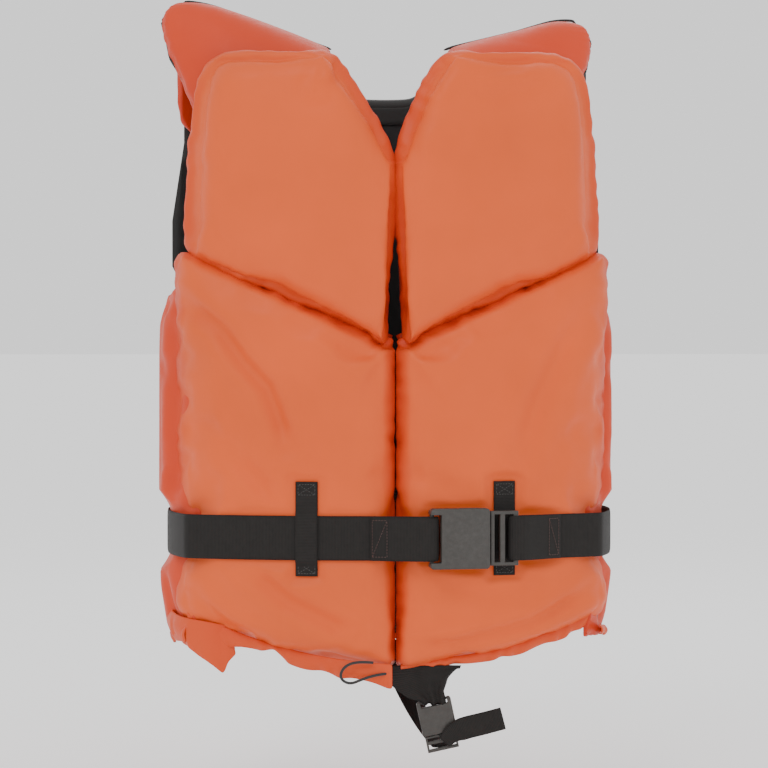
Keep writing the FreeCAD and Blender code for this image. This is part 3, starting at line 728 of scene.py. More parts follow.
def closed_lip(piece, side):
    """Draw the zip edge back from the chain near the lining, and forward over it at the front."""
    mesh = piece.data
    points = coordinates(mesh)
    depth = np.hypot(points[:, 0], points[:, 1] - AXIS) - SKIN
    rows = np.clip(((points[:, 2] + 0.52) / 0.010).astype(int), 0, 31)
    middle = (depth > 22 * MM) & (depth < 38 * MM)
    gaps = np.array([np.abs(points[middle & (rows == row), 0]).min(initial=60 * MM) for row in range(32)])
    gaps = np.minimum(gaps, 14 * MM)
    gap = np.interp((points[:, 2] + 0.52) / 0.010 - 0.5, np.arange(32), gaps)
    share = np.clip(1 - np.abs(points[:, 0]) / (45 * MM), 0, 1) * np.clip(depth / (14 * MM) - 0.4, 0, 1)
    points[:, 0] += side * gap * share
    edge = np.clip(1 - np.abs(points[:, 0]) / (34 * MM), 0, 1) ** 2
    back = np.clip(1 - depth / (20 * MM), 0, 1)
    reach = 6.6 * MM
    wanted = np.maximum(np.abs(points[:, 0]), reach * np.minimum(1, back * 2.2) + 0.3 * MM)
    points[:, 0] = np.where(edge > 0, -side * wanted, points[:, 0])
    set_coordinates(mesh, points)
    return piece


def broadened(piece):
    """Let a lower panel's outer edge puff out over the side gusset, except where the belt holds it."""
    points = coordinates(piece.data)
    reach = np.clip((np.abs(points[:, 0]) - 145 * MM) / (35 * MM), 0, 1) ** 1.5
    free = np.clip((np.abs(points[:, 2] - BELT_MID) - BELT_HALF) / (40 * MM), 0, 1) ** 0.5
    points[:, 0] += np.sign(points[:, 0]) * 9 * MM * reach * free
    set_coordinates(piece.data, points)


def lower_panels():
    low = LOWER[0]
    outer = low.x - 3 * MM
    inner = -0.35 * MM
    corners = [
        (inner, -232.5 * MM, 4 * MM, 8 * MM),
        (outer, -147.5 * MM, 10 * MM, 15 * MM),
        (outer, -478 * MM, 26 * MM, 26 * MM),
        (outer / 2, -507 * MM, 60 * MM, 22 * MM),
        (inner, low.z + 1 * MM, 8 * MM, 8 * MM),
    ]
    right = padded_form("front_panel_right", corners, FRONT_THICK - 2 * MM, front_surface(), crown=0.1, bulge=3 * MM)
    cloth(right, pressure=3.5, cap=6 * MM, grow=0.018)
    subdivided(right)
    left = mirrored(right, "front_panel_left")
    set_attribute(left.data, "across", -attribute(left.data, "across"))
    creases = {
        right: [
            ([(-.183, -.194), (-.155, -.219), (-.134, -.248), (-.113, -.271), (-.094, -.321)], 6 * MM, 7 * MM, 2 * MM),
            ([(-.146, -.325), (-.103, -.372)], 4 * MM, 8 * MM, 1.6 * MM),
            ([(-.129, -.429), (-.094, -.457), (-.038, -.485)], 4.5 * MM, 7 * MM, 2 * MM),
            ([(-.176, -.452), (-.150, -.480), (-.120, -.492)], 4 * MM, 6 * MM, 1.4 * MM),
        ],
        left: [
            ([(.168, -.200), (.146, -.240), (.124, -.285), (.110, -.330)], 3.5 * MM, 9 * MM, 2.4 * MM),
            ([(.170, -.452), (.120, -.478), (.060, -.492), (.020, -.498)], 4 * MM, 6 * MM, 2 * MM),
            ([(.030, -.440), (.075, -.452), (.120, -.445)], 2 * MM, 8 * MM, 1.2 * MM),
            ([(.020, -.345), (.060, -.366)], 2 * MM, 8 * MM, 1.2 * MM),
        ],
    }
    for (piece, lines), side in zip(creases.items(), ("right", "left")):
        dent(piece, lines)
        pucker(piece, 64, 0.9 * MM, phase=0.4 if side == "right" else 2.0)
        closed_lip(piece, 1 if side == "right" else -1)
        zones = strap_zones(FRONT_THICK, LOOPS.values())
        zones.append((24 * MM, 110 * MM, BELT_MID - 28 * MM, BELT_MID + 28 * MM, FRONT_THICK + 0.6 * MM))
        pressed(piece, (0, AXIS), SKIN, zones)
        broadened(piece)
        dress(piece, SHELL, "jacket", "shell_fabric", f"front_cover_{side}", f"front_foam_{side}")


def chest_blocks():
    low, high = CHEST
    outer = low.x - 3 * MM
    corners = [
        (-8 * MM, low.z - 2 * MM, 6 * MM, 14 * MM),
        (-1.2 * MM, -130 * MM, 40 * MM, 14 * MM),
        (-3 * MM, -65 * MM, 30 * MM, 18 * MM),
        (-54 * MM, high.z, 20 * MM, 22 * MM),
        (-166 * MM, high.z, 30 * MM, 26 * MM),
        (-181 * MM, -30 * MM, 40 * MM, 26 * MM),
        (outer, -146.5 * MM, 10 * MM, 20 * MM),
    ]
    right = padded_form("chest_block_right", corners, CHEST_THICK - 3 * MM, front_surface(), crown=0.16,
                        crown_reach=50 * MM, bulge=3.5 * MM)
    overhang(right)
    cloth(right, pressure=4, cap=6 * MM, grow=0.012)
    subdivided(right)
    left = mirrored(right, "chest_block_left")
    set_attribute(left.data, "across", -attribute(left.data, "across"))
    points = coordinates(left.data)
    rise = np.clip((points[:, 2] + 70 * MM) / (70 * MM), 0, 1)
    points[:, 0] -= 12 * MM * rise * np.clip((165 * MM - points[:, 0]) / (100 * MM), 0, 1)
    set_coordinates(left.data, points)
    creases = {
        right: [([(-.058, .024), (-.064, .004), (-.072, -.010)], 4 * MM, 6 * MM, 1.2 * MM),
                ([(-.176, -.140), (-.150, -.160), (-.120, -.176)], 4 * MM, 7 * MM, 1.4 * MM),
                ([(-.178, -.060), (-.160, -.066)], 2 * MM, 7 * MM, 0.8 * MM)],
        left: [([(.176, -.140), (.150, -.158), (.110, -.172)], 4 * MM, 7 * MM, 1.4 * MM),
               ([(.030, -.020), (.050, -.004)], 2.5 * MM, 7 * MM, 1.0 * MM),
               ([(.140, .018), (.120, .004), (.090, -.002)], 2.5 * MM, 6 * MM, 1.0 * MM)],
    }
    for (piece, lines), side in zip(creases.items(), ("right", "left")):
        dent(piece, lines)
        pucker(piece, 46, 0.9 * MM, phase=1.0 if side == "right" else 2.6)
        dress(piece, SHELL, "jacket", "shell_fabric", f"chest_cover_{side}", f"chest_foam_{side}")


def back_pad():
    low, high = BACK
    half = 184 * MM
    arm = -low.x - 2 * MM
    corners = []
    for x, z, radius, roll in (
            (half, -484, 24, 24), (half + 1 * MM, -188, 20, 20), (arm, -158, 20, 18), (arm, -118, 30, 18),
            (half + 2 * MM, -45, 40, 18), (half + 1 * MM, high.z / MM, 24, 18), (52 * MM, 11, 16, 12),
            (30 * MM, -7, 14, 10)):
        corners.append((x, z * MM, radius * MM, roll * MM))
    corners += [(-x, z, radius, roll) for x, z, radius, roll in reversed(corners)]
    corners += [(-half / 2, -508 * MM, 50 * MM, 22 * MM), (half / 2, -508 * MM, 50 * MM, 22 * MM)]
    piece = padded_form("back_panel", corners, BACK_THICK - 1 * MM, back_surface(), voxel=6.5 * MM, crown=0.12)
    cloth(piece, pressure=2.5, cap=5 * MM, grow=0.016)
    subdivided(piece)
    dent(piece, [
        ([(-.178, -.205), (0, -.212), (.178, -.205)], 4 * MM, 5 * MM, 1.4 * MM),
        ([(-.120, -.300), (-.090, -.345), (-.050, -.372)], 3.5 * MM, 8 * MM, 1.6 * MM),
        ([(.150, -.270), (.120, -.310), (.100, -.350)], 3.5 * MM, 8 * MM, 1.6 * MM),
        ([(.030, -.450), (.080, -.470), (.130, -.478)], 3 * MM, 7 * MM, 1.2 * MM),
        ([(-.140, -.445), (-.100, -.466)], 2.5 * MM, 7 * MM, 1.0 * MM),
        ([(-.110, -.060), (-.060, -.090)], 2.5 * MM, 8 * MM, 1.0 * MM),
        ([(.130, -.090), (.090, -.120)], 2.5 * MM, 8 * MM, 1.0 * MM),
    ])
    pucker(piece, 120, 0.9 * MM)
    pressed(piece, (0, -AXIS), SKIN, strap_zones(BACK_THICK, (-95 * MM, 95 * MM)))
    dress(piece, SHELL, "jacket", "shell_fabric", "back_cover", "back_foam")


def side_gussets():
    low, high = SIDE
    corners = [
        (-76 * MM, low.z - 8 * MM, 8 * MM, 9 * MM), (0, low.z - 12 * MM, 40 * MM, 9 * MM),
        (86 * MM, low.z - 6 * MM, 8 * MM, 9 * MM), (86 * MM, high.z + 8 * MM, 10 * MM, 9 * MM),
        (20 * MM, high.z - 6 * MM, 50 * MM, 9 * MM), (-76 * MM, high.z + 14 * MM, 10 * MM, 9 * MM),
    ]
    right = padded_form("side_gusset_right", corners, 9 * MM, side_surface(), voxel=4.5 * MM, crown=0.1)
    cloth(right, pressure=1.6, cap=8 * MM, grow=0.035, bend=0.4, held=0.3)
    subdivided(right)
    left = mirrored(right, "side_gusset_left")
    for piece, side in ((right, "right"), (left, "left")):
        shift = 0 if side == "right" else 0.012
        dent(piece, [
            ([(-.045 + shift, -.210), (-.050, -.330), (-.042, -.375)], 5 * MM, 7 * MM, 2.0 * MM),
            ([(.010, -.205), (.004 + shift, -.300), (.012, -.375)], 4.5 * MM, 8 * MM, 2.0 * MM),
            ([(.055, -.220), (.050 - shift, -.370)], 4 * MM, 7 * MM, 1.6 * MM),
            ([(-.030 - shift, -.430), (-.036, -.490)], 4 * MM, 7 * MM, 1.6 * MM),
            ([(.030, -.425), (.034 - shift, -.490)], 4 * MM, 7 * MM, 1.6 * MM),
        ])
        pucker(piece, 70, 0.9 * MM, phase=1.5 if side == "right" else 0.2)
        sign = 1 if side == "right" else -1
        pressed(piece, (sign * SIDE_RING[0], SIDE_RING[1]), SIDE_RING[2], strap_zones(9 * MM, ()))
        points = coordinates(piece.data)
        points[:, 0] += sign * 9 * MM * np.clip((-points[:, 1] - 48 * MM) / (28 * MM), 0, 1)
        if side == "left":
            points[:, 0] -= 6 * MM * np.clip((points[:, 0] - 176 * MM) / (20 * MM), 0, 1)
        set_coordinates(piece.data, points)
        # The gussets are the same fabric as the fronts; their darker, redder copy is painted shade.
        dress(piece, SHELL_PAINTED_SHADE, "jacket", "shell_fabric", f"side_cover_{side}",
                        f"side_foam_{side}")


def shoulder_pads():
    inner = -50.5 * MM
    outer = SHOULDER[0].x
    corners = [
        (2 * MM, outer + 24 * MM, 16 * MM, 9 * MM), (45 * MM, outer - 4 * MM, 30 * MM, 9 * MM),
        (85 * MM, outer - 12 * MM, 30 * MM, 9 * MM), (ARCH_RUN / 2 + 10 * MM, outer + 2 * MM, 30 * MM, 9 * MM),
        (ARCH_RUN - 2 * MM, outer + 4 * MM, 16 * MM, 10 * MM),
        (ARCH_RUN - 2 * MM, inner, 10 * MM, 9 * MM), (ARCH_RUN / 2, inner, 40 * MM, 9 * MM),
        (2 * MM, inner, 10 * MM, 9 * MM),
    ]
    right = padded_form("shoulder_pad_right", corners, SHOULDER_THICK, shoulder_surface, crown=0.2, crown_reach=30 * MM)
    cloth(right, pressure=2, cap=4 * MM, grow=0.012)
    subdivided(right)
    left = mirrored(right, "shoulder_pad_left")
    set_coordinates(left.data, settle_lobe(coordinates(left.data)))
    for piece, side in ((right, "right"), (left, "left")):
        pucker(piece, 60, 0.8 * MM, phase=0.7 if side == "right" else 1.9)
        # The shoulder lobes are the same fabric as the fronts; their darker, redder copy is painted shade.
        dress(piece, SHELL_PAINTED_SHADE, "jacket", "shell_fabric", f"shoulder_cover_{side}",
                        f"shoulder_foam_{side}")


# ---------------------------------------------------------------- webbing


def drawn(points, rounds=3, step=3 * MM):
    """A smooth even line near given points, with its two ends kept."""
    line = np.array(points, float)
    for _ in range(rounds):
        quarter = line[:-1] * 0.75 + line[1:] * 0.25
        three = line[:-1] * 0.25 + line[1:] * 0.75
        middle = np.empty((len(quarter) * 2, line.shape[1]))
        middle[0::2] = quarter
        middle[1::2] = three
        line = np.vstack((line[:1], middle, line[-1:]))
    gone = np.concatenate(([0], np.cumsum(np.linalg.norm(np.diff(line, axis=0), axis=1))))
    even = np.linspace(0, gone[-1], max(3, int(gone[-1] / step) + 1))
    return np.column_stack([np.interp(even, gone, line[:, axis]) for axis in range(line.shape[1])])


def strip(name, path, across, width, thick, columns=10, wave=None):
    """A woven strip with soft edges along a line; UVs are metres along it and across it."""
    path = np.asarray(path, float)
    count = len(path)
    across = np.broadcast_to(np.asarray(across, float), path.shape)
    width = np.broadcast_to(np.asarray(width, float), (count,))
    tangent = np.gradient(path, axis=0)
    tangent /= np.linalg.norm(tangent, axis=1)[:, None]
    across = across - tangent * (across * tangent).sum(1)[:, None]
    across /= np.linalg.norm(across, axis=1)[:, None]
    up = np.cross(tangent, across)
    gone = np.concatenate(([0], np.cumsum(np.linalg.norm(np.diff(path, axis=0), axis=1))))
    share = np.linspace(-1, 1, columns + 1)
    half = thick / 2 * np.sqrt(1 - 0.92 * np.abs(share) ** 8)
    points = []
    flat = []
    for index in range(count):
        side = share * width[index] / 2
        lift = wave(gone[index], side) if wave else np.zeros(columns + 1)
        base = path[index] + across[index] * side[:, None] + up[index] * lift[:, None]
        top = base + up[index] * half[:, None]
        low = base - up[index] * half[:, None]
        points += list(top) + list(low[::-1])
        flat += [(gone[index], v) for v in side] + [(gone[index], v) for v in side[::-1]]
    ring = 2 * (columns + 1)
    faces = []
    for index in range(count - 1):
        for k in range(ring):
            after = (k + 1) % ring
            faces.append((index * ring + k, index * ring + after, (index + 1) * ring + after, (index + 1) * ring + k))
    for start, turn in ((0, 1), ((count - 1) * ring, -1)):
        for k in range(columns):
            face = [start + k, start + ring - 1 - k, start + ring - 2 - k, start + k + 1]
            faces.append(face[::turn])
    piece = new_object(name, points, faces)
    layer = piece.data.uv_layers.new(name="UVMap")
    for loop in piece.data.loops:
        layer.data[loop.index].uv = flat[loop.vertex_index]
    outward(piece.data)
    return smooth(piece)


WEB_THICK = 1.8 * MM
WEB_WIDTH = 39 * MM
FRONT_BELT = SKIN + FRONT_THICK + 1.35 * MM         # radius of the belt's middle on the front
BACK_BELT = SKIN + BACK_THICK + 1.35 * MM
RING_BELT = SIDE_RING[2] + 9 * MM + 1.3 * MM
BUCKLE_TURN = 0.142188
BUCKLE_PLACE = np.array((67 * MM, -136.03 * MM))
UP = (0, 0, 1)


def on_buckle(along, inwards):
    """A point of the waist buckle's own plan, on the belt's middle line."""
    turn = np.array([[math.cos(BUCKLE_TURN), -math.sin(BUCKLE_TURN)], [math.sin(BUCKLE_TURN), math.cos(BUCKLE_TURN)]])
    x, y = BUCKLE_PLACE + turn @ np.array((along * MM, inwards * MM))
    return (x, y, BELT_MID)


def belt_round(side, front_start, back_end):
    """The belt's middle line on one side, from the front over the side to the back."""
    line = []
    for x in np.arange(front_start, 181 * MM, 6 * MM):
        line.append((side * x, AXIS - math.sqrt(FRONT_BELT**2 - x**2), BELT_MID))
    for angle in np.radians(np.arange(-23, 22.5, 2)):
        x = SIDE_RING[0] - RING_BELT * math.cos(angle)
        line.append((-side * x, SIDE_RING[1] + RING_BELT * math.sin(angle), BELT_MID))
    for x in np.arange(180 * MM, back_end, -6 * MM):
        line.append((side * x, math.sqrt(BACK_BELT**2 - x**2) - AXIS, BELT_MID))
    return line


def belts():
    fold = [(-89, 15.2), (-68, 5.6), (-46, -3.8), (-36, -3.8), (-32.6, -2.8), (-31.9, 0), (-32.6, 2.8), (-36, 3.8),
            (-46, 3.8), (-70, 11.3), (-90, 17.7)]
    line = [on_buckle(*point) for point in fold] + belt_round(-1, 32 * MM, -93 * MM)
    dress(strip("waist_belt", drawn(line), UP, WEB_WIDTH, WEB_THICK, 16), WEBBING, "jacket", "webbing", "belt_main")
    fold = [(82, 13.8), (64, 5.0), (46, -5.3), (37, -5.3), (32.6, -4), (31.4, 0), (32.6, 4), (37, 5.3), (46, 5.3),
            (66, 11.2), (82, 16.3)]
    line = [on_buckle(*point) for point in fold] + belt_round(1, 153 * MM, 95.5 * MM)
    piece = dress(strip("waist_belt_end", drawn(line), UP, WEB_WIDTH, WEB_THICK, 16), WEBBING, None, "webbing", "belt_left")
    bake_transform(piece)


def belt_loops():
    reach = LOOP_SPAN[1] - LOOP_SPAN[0]
    middle = (LOOP_SPAN[0] + LOOP_SPAN[1]) / 2
    rise = (0.75, 0.75, 0.9, 3.2, 3.2, 0.9, 0.75, 0.75)
    level = (LOOP_SPAN[0], BELT_MID - 26 * MM, BELT_MID - 23.5 * MM, BELT_MID - 20 * MM, BELT_MID + 20 * MM,
             BELT_MID + 23.5 * MM, BELT_MID + 26 * MM, LOOP_SPAN[1])
    places = [("belt_loop_right", LOOPS["right"], -1), ("belt_loop_left", LOOPS["left"], -1),
              ("belt_loop_rear_right", -95 * MM, 1), ("belt_loop_rear_left", 95 * MM, 1)]
    for name, across, face in places:
        thick = FRONT_THICK if face < 0 else BACK_THICK
        angle = math.asin(across / (SKIN + thick))
        line = []
        for out, z in zip(rise, level):
            radius = SKIN + thick + (0.3 + out) * MM
            line.append((radius * math.sin(angle), face * (radius * math.cos(angle) - AXIS), z))
        tangent = (math.cos(angle), -face * math.sin(angle), 0)
        piece = strip(f"{name}_webbing", drawn(line, 2, 2 * MM), tangent, 19.6 * MM, 1.4 * MM, 10)
        node = name if face < 0 else "belt_loops_rear"
        dress(piece, WEBBING, "jacket", "webbing", node)
        normal = np.array((math.sin(angle), face * math.cos(angle), 0))
        for z in (LOOP_SPAN[0] + 7 * MM, LOOP_SPAN[1] - 7 * MM):
            radius = SKIN + thick + 1.75 * MM
            centre = np.array((radius * math.sin(angle), face * (radius * math.cos(angle) - AXIS), z))
            box_stitch(f"{name}_stitch_{'low' if z < middle else 'high'}", centre, np.array(tangent), normal,
                       7.4 * MM, reach * 0.055)


def dashes(name, starts, ends, normals_out, material, body="jacket", slot="webbing", thick=0.45 * MM):
    """Short raised threads, each a small rounded bar from a start to an end."""
    points = []
    faces = []
    for start, end, out in zip(starts, ends, normals_out):
        along = end - start
        side = np.cross(along, out)
        side = side / np.linalg.norm(side) * thick * 0.6
        rise = out / np.linalg.norm(out) * thick * 0.6
        base = len(points)
        for share, scale in ((0, 0.35), (0.2, 0.9), (0.5, 1.0), (0.8, 0.9), (1, 0.35)):
            centre = start + along * share
            for turn in range(6):
                angle = turn * math.pi / 3
                points.append(centre + (side * math.cos(angle) + rise * math.sin(angle)) * scale)
        for ring in range(4):
            for k in range(6):
                a = base + ring * 6 + k
                b = base + ring * 6 + (k + 1) % 6
                faces.append((a, b, b + 6, a + 6))
        faces.append([base + k for k in range(6)][::-1])
        faces.append([base + 24 + k for k in range(6)])
    piece = new_object(name, points, faces)
    outward(piece.data)
    return dress(smooth(piece), material, body, slot)


def stitch_line(line, pitch=3.2 * MM, share=0.68):
    """The starts and ends of the stitches along a line."""
    gone = np.concatenate(([0], np.cumsum(np.linalg.norm(np.diff(line, axis=0), axis=1))))
    count = max(1, int(gone[-1] / pitch))
    at = np.arange(count) * gone[-1] / count
    def there(distance):
        return np.column_stack([np.interp(distance, gone, line[:, axis]) for axis in range(3)])
    return there(at), there(at + gone[-1] / count * share)


def box_stitch(name, centre, across, out, half_width, half_height, body="jacket"):
    """A sewn box with a cross in it."""
    up = np.cross(out, across)
    corner = [centre + across * half_width * x + up * half_height * y for x, y in ((-1, -1), (1, -1), (1, 1), (-1, 1))]
    starts = []
    ends = []
    for a, b in ((0, 1), (1, 2), (2, 3), (3, 0), (0, 2), (1, 3)):
        first, last = stitch_line(np.array([corner[a], corner[b]]), 2.4 * MM)
        starts += list(first)
        ends += list(last)
    return dashes(name, starts, ends, [out] * len(starts), THREAD_BLACK, body)


# ---------------------------------------------------------------- crotch strap and its ends


def hem_strap():
    """Webbing sewn into the front hem, which gathers down to the small buckle."""
    line = drawn([(24 * MM, -112 * MM, -516 * MM), (24 * MM, -111 * MM, -523 * MM), (27 * MM, -109 * MM, -533 * MM),
                  (31 * MM, -109.5 * MM, -541 * MM), (33 * MM, -110.5 * MM, -546 * MM),
                  (33.6 * MM, -110 * MM, -549.5 * MM), (33.8 * MM, -107 * MM, -551.5 * MM),
                  (33.4 * MM, -103 * MM, -549 * MM), (32.6 * MM, -103 * MM, -543 * MM)], 2, 1.5 * MM)
    share = np.linspace(0, 1, len(line))
    width = np.interp(share, [0, 0.22, 0.5, 0.6, 1], [68, 60, 34, 23, 21]) * MM

    def gathers(along, side):
        spread = side / np.abs(side).max()
        return 0.8 * MM * np.sin(spread * 9 + along * 40) * (0.5 + along / (32 * MM))

    piece = strip("crotch_hem_webbing", line, (1, 0, -0.08), width, 2 * MM, 26, gathers)
    dress(piece, WEBBING, None, "webbing", "crotch_hem_strap")
    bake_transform(piece)


def crotch_strap():
    start = np.array((42.4, -104.1, -589)) * MM
    end = np.array((0, 98, -510)) * MM
    shares = np.linspace(0, 1, 14)
    sag = 46 * MM * shares * (1 - shares)
    line = start + (end - start) * shares[:, None]
    line[:, 2] -= sag
    line = drawn(line, 2, 3 * MM)
    run = line[-1] - line[0]
    across = np.cross(run, UP)
    split = len(line) // 2
    front = strip("crotch_strap_front", line[:split + 1], across, 20 * MM, WEB_THICK, 10)
    rear = strip("crotch_strap_rear", line[split:], across, 20 * MM, WEB_THICK, 10)
    dress(front, WEBBING, None, "webbing", "crotch_strap")
    dress(rear, WEBBING, None, "webbing", "crotch_strap")
    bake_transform(front)
    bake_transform(rear)


def crotch_tail():
    line = drawn([(43, -112.6, -584), (50, -113.6, -576), (60, -114.2, -571.5), (76, -114.6, -568), (95, -114.4, -563)],
                 3, 1.5) * MM
    share = np.linspace(0, 1, len(line))
    width = (12 + 8 * np.clip(share * 3, 0, 1)) * MM
    piece = strip("crotch_tail_webbing", line, (-0.22, 0, 1), width, WEB_THICK, 10,
                  lambda along, side: 0.5 * MM * np.sin(along * 120 + side * 90))
    dress(piece, WEBBING, "crotch_plug", "webbing", "crotch_tail")


def drawcord():
    """The bow loop of the hem's drawcord."""
    route = [(-6, -126.5, -521), (-17, -131, -521.5), (-30, -133, -525), (-42, -133.5, -530), (-51, -133.5, -524),
             (-47, -133.5, -514), (-35, -133, -509.5), (-21, -132, -511)]
    data = bpy.data.curves.new("drawcord", "CURVE")
    data.dimensions = "3D"
    spline = data.splines.new("NURBS")
    spline.points.add(len(route) - 1)
    for point, place in zip(spline.points, route):
        point.co = (*(value * MM for value in place), 1)
    spline.order_u = 3
    spline.use_endpoint_u = True
    spline.resolution_u = 12
    data.bevel_depth = 1.25 * MM
    data.bevel_resolution = 4
    data.use_fill_caps = True
    cord = bpy.data.objects.new("drawcord", data)
    bpy.context.scene.collection.objects.link(cord)
    dress(cord, CORD, "jacket", "cord", "drawcord_loop")


# ---------------------------------------------------------------- linings


def filled(name, outline, surface, depth, cell=9 * MM, thick=0.8 * MM, ripple=0.0):
    """A sheet inside an outline, cut into small cells, bent onto a surface and given its thickness."""
    work = bmesh.new()
    verts = [work.verts.new((x, z, 0)) for x, z in outline]
    work.faces.new(verts)
    low = np.min(outline, axis=0)
    high = np.max(outline, axis=0)
    for axis in (0, 1):
        normal = (1, 0, 0) if axis == 0 else (0, 1, 0)
        for value in np.arange(low[axis] + cell, high[axis], cell):
            place = (value, 0, 0) if axis == 0 else (0, value, 0)
            bmesh.ops.bisect_plane(work, geom=work.verts[:] + work.edges[:] + work.faces[:], plane_co=place,
                                   plane_no=normal, dist=1e-6)
    mesh = bpy.data.meshes.new(name)
    work.to_mesh(mesh)
    work.free()
    piece = bpy.data.objects.new(name, mesh)
    bpy.context.scene.collection.objects.link(piece)
    points = coordinates(mesh)
    place = points[:, :2]
    wave = ripple * (np.sin(place[:, 0] * 55 + 2 * np.sin(place[:, 1] * 21)) + np.sin(place[:, 1] * 47 + 1.3))
    set_coordinates(mesh, surface(place, depth + wave))
    area = sum(polygon.area for polygon in mesh.polygons)
    solid = piece.modifiers.new("Thick", "SOLIDIFY")
    solid.thickness = thick
    solid.offset = 0
    evaluated(piece)
    outward(piece.data)
    smooth(piece)
    return piece, area


def linings():
    front = [(-17.5, -515), (-17.5, -229), (-9, -225), (-3, -130), (-3, -66), (-30, -22), (-52, 14), (-66, 22),
             (-146, 22), (-164, 12), (-172, -6), (-181, -97), (-181, -478), (-91, -505)]
    back = [(183, -488), (185, -187), (199, -160), (199, -118), (188, -45), (188, 42), (52, 10), (30, -7.5)]
    back += [(-x, z) for x, z in reversed(back)] + [(-91, -507), (91, -507)]
    side = [(-62, -484), (60, -484), (60, -190), (-62, -190)]
    sheets = []
    for name, sign in (("right", 1), ("left", -1)):
        outline = [(sign * x * MM, z * MM) for x, z in front]
        sheets.append((f"front_lining_{name}", outline, front_surface(CURVE + 0.5 * MM), (0.18, 0.545)))
    sheets.append(("back_lining", [(x * MM, z * MM) for x, z in back], back_surface(CURVE + 0.5 * MM), (0.40, 0.555)))
    for name, sign in (("right", 1), ("left", -1)):
        outline = [(x * MM, z * MM) for x, z in side]
        surface = side_surface(SIDE_RING[2] - 0.9 * MM)
        chosen = surface if sign > 0 else lambda place, depth, one=surface: one(place, depth) * np.array((-1, 1, 1))
        sheets.append((f"side_lining_{name}", outline, chosen, (0.125, 0.30)))
    for name, outline, surface, flat in sheets:
        piece, area = filled(f"{name}_cloth", outline, surface, 0.0, ripple=0.0)
        dress(piece, LINING, "jacket", "lining_fabric", name)


# ---------------------------------------------------------------- hardware


def softened(node, material, body, slot, bevel=0.8 * MM, segments=3):
    """A CAD part's copy with rounded edges."""
    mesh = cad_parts[node].data.copy()
    piece = bpy.data.objects.new(node + "_soft", mesh)
    bpy.context.scene.collection.objects.link(piece)
    work = bmesh.new()
    work.from_mesh(mesh)
    bmesh.ops.remove_doubles(work, verts=work.verts, dist=0.01 * MM)
    bmesh.ops.dissolve_limit(work, angle_limit=math.radians(1), verts=work.verts, edges=work.edges)
    work.to_mesh(mesh)
    work.free()
    round_edges = piece.modifiers.new("Bevel", "BEVEL")
    round_edges.width = bevel
    round_edges.segments = segments
    round_edges.limit_method = "ANGLE"
    round_edges.angle_limit = math.radians(35)
    round_edges.harden_normals = True
    evaluated(piece)
    smooth(piece)
    return dress(piece, material, body, slot, node)


def hardware():
    for name, scale, sides in (("waist", 1.0, ("upper", "lower")), ("crotch", 0.58, ("left", "right"))):
        softened(f"{name}_socket", PLASTIC, "jacket" if name == "waist" else "crotch_hanger", "buckle_plastic",
                 1.0 * MM * scale)
        softened(f"{name}_plug", PLASTIC, f"{name}_plug", "buckle_plastic", 0.8 * MM * scale)
        for side in sides:
            softened(f"{name}_arm_{side}", PLASTIC, f"{name}_arm_{side}", "buckle_plastic", 0.6 * MM * scale)
    softened("zip_slider", ZIP_PLASTIC, "zip_slider", "zip_plastic", 0.35 * MM)
    softened("zip_pull", ZIP_PLASTIC, "zip_pull", "zip_plastic", 0.3 * MM)
    for node in ("zip_box", "zip_pin", "zip_top_stops"):
        softened(node, ZIP_PLASTIC, "jacket", "zip_plastic", 0.3 * MM)


# ---------------------------------------------------------------- hems, seams and bindings


def ruffled(name, path, drop, depth, waves, seed, out, thick=1.6 * MM, rows=7):
    """A gathered strip of shell fabric below a seam: its top is straight and its foot waves in and out."""
    path = np.asarray(path, float)
    count = len(path)
    drop = np.broadcast_to(np.asarray(drop, float), (count,))
    out = np.broadcast_to(np.asarray(out, float), path.shape)
    gone = np.linspace(0, 1, count)
    phase = 2 * np.pi * waves * gone + 1.7 * np.sin(2 * np.pi * 3.3 * gone + seed)
    points = []
    for face in (1, -1):
        for index in range(count):
            for row in range(rows):
                share = row / (rows - 1)
                fold = depth * math.sin(phase[index]) * share**0.8
                belly = 2.2 * MM * math.sin(math.pi * share)
                away = fold + belly + face * thick / 2 * (1 - 0.8 * share**6)
                hang = drop[index] * share * (1 + 0.10 * math.sin(phase[index] * 0.5 + seed) * share)
                points.append(path[index] + out[index] * away - np.array((0, 0, hang)))
    side = count * rows
    faces = []
    for index in range(count - 1):
        for row in range(rows - 1):
            a = index * rows + row
            quad = (a, a + 1, a + rows + 1, a + rows)
            faces.append(quad)
            faces.append(tuple(side + k for k in quad[::-1]))
    for index in range(count - 1):
        for row in (0, rows - 1):
            a = index * rows + row
            quad = (a, a + rows, side + a + rows, side + a)
            faces.append(quad if row == 0 else quad[::-1])
    for row in range(rows - 1):
        for index in (0, count - 1):
            a = index * rows + row
            quad = (a, side + a, side + a + 1, a + 1)
            faces.append(quad if index == 0 else quad[::-1])
    piece = new_object(name, points, faces)
    outward(piece.data)
    subdivided(piece)
    # A fixed seam distance mixes part of the painted seam shade into the whole hem, which hangs in the shade below the
    # panels.
    set_attribute(piece.data, "seam", np.full(len(piece.data.vertices), 9 * MM))
    return dress(piece, SHELL, "jacket", "shell_fabric")


def outward_of(path, middle):
    away = np.asarray(path, float).copy()
    away[:, 0] -= middle[0]
    away[:, 1] -= middle[1]
    away[:, 2] = 0
    return away / np.linalg.norm(away, axis=1)[:, None]


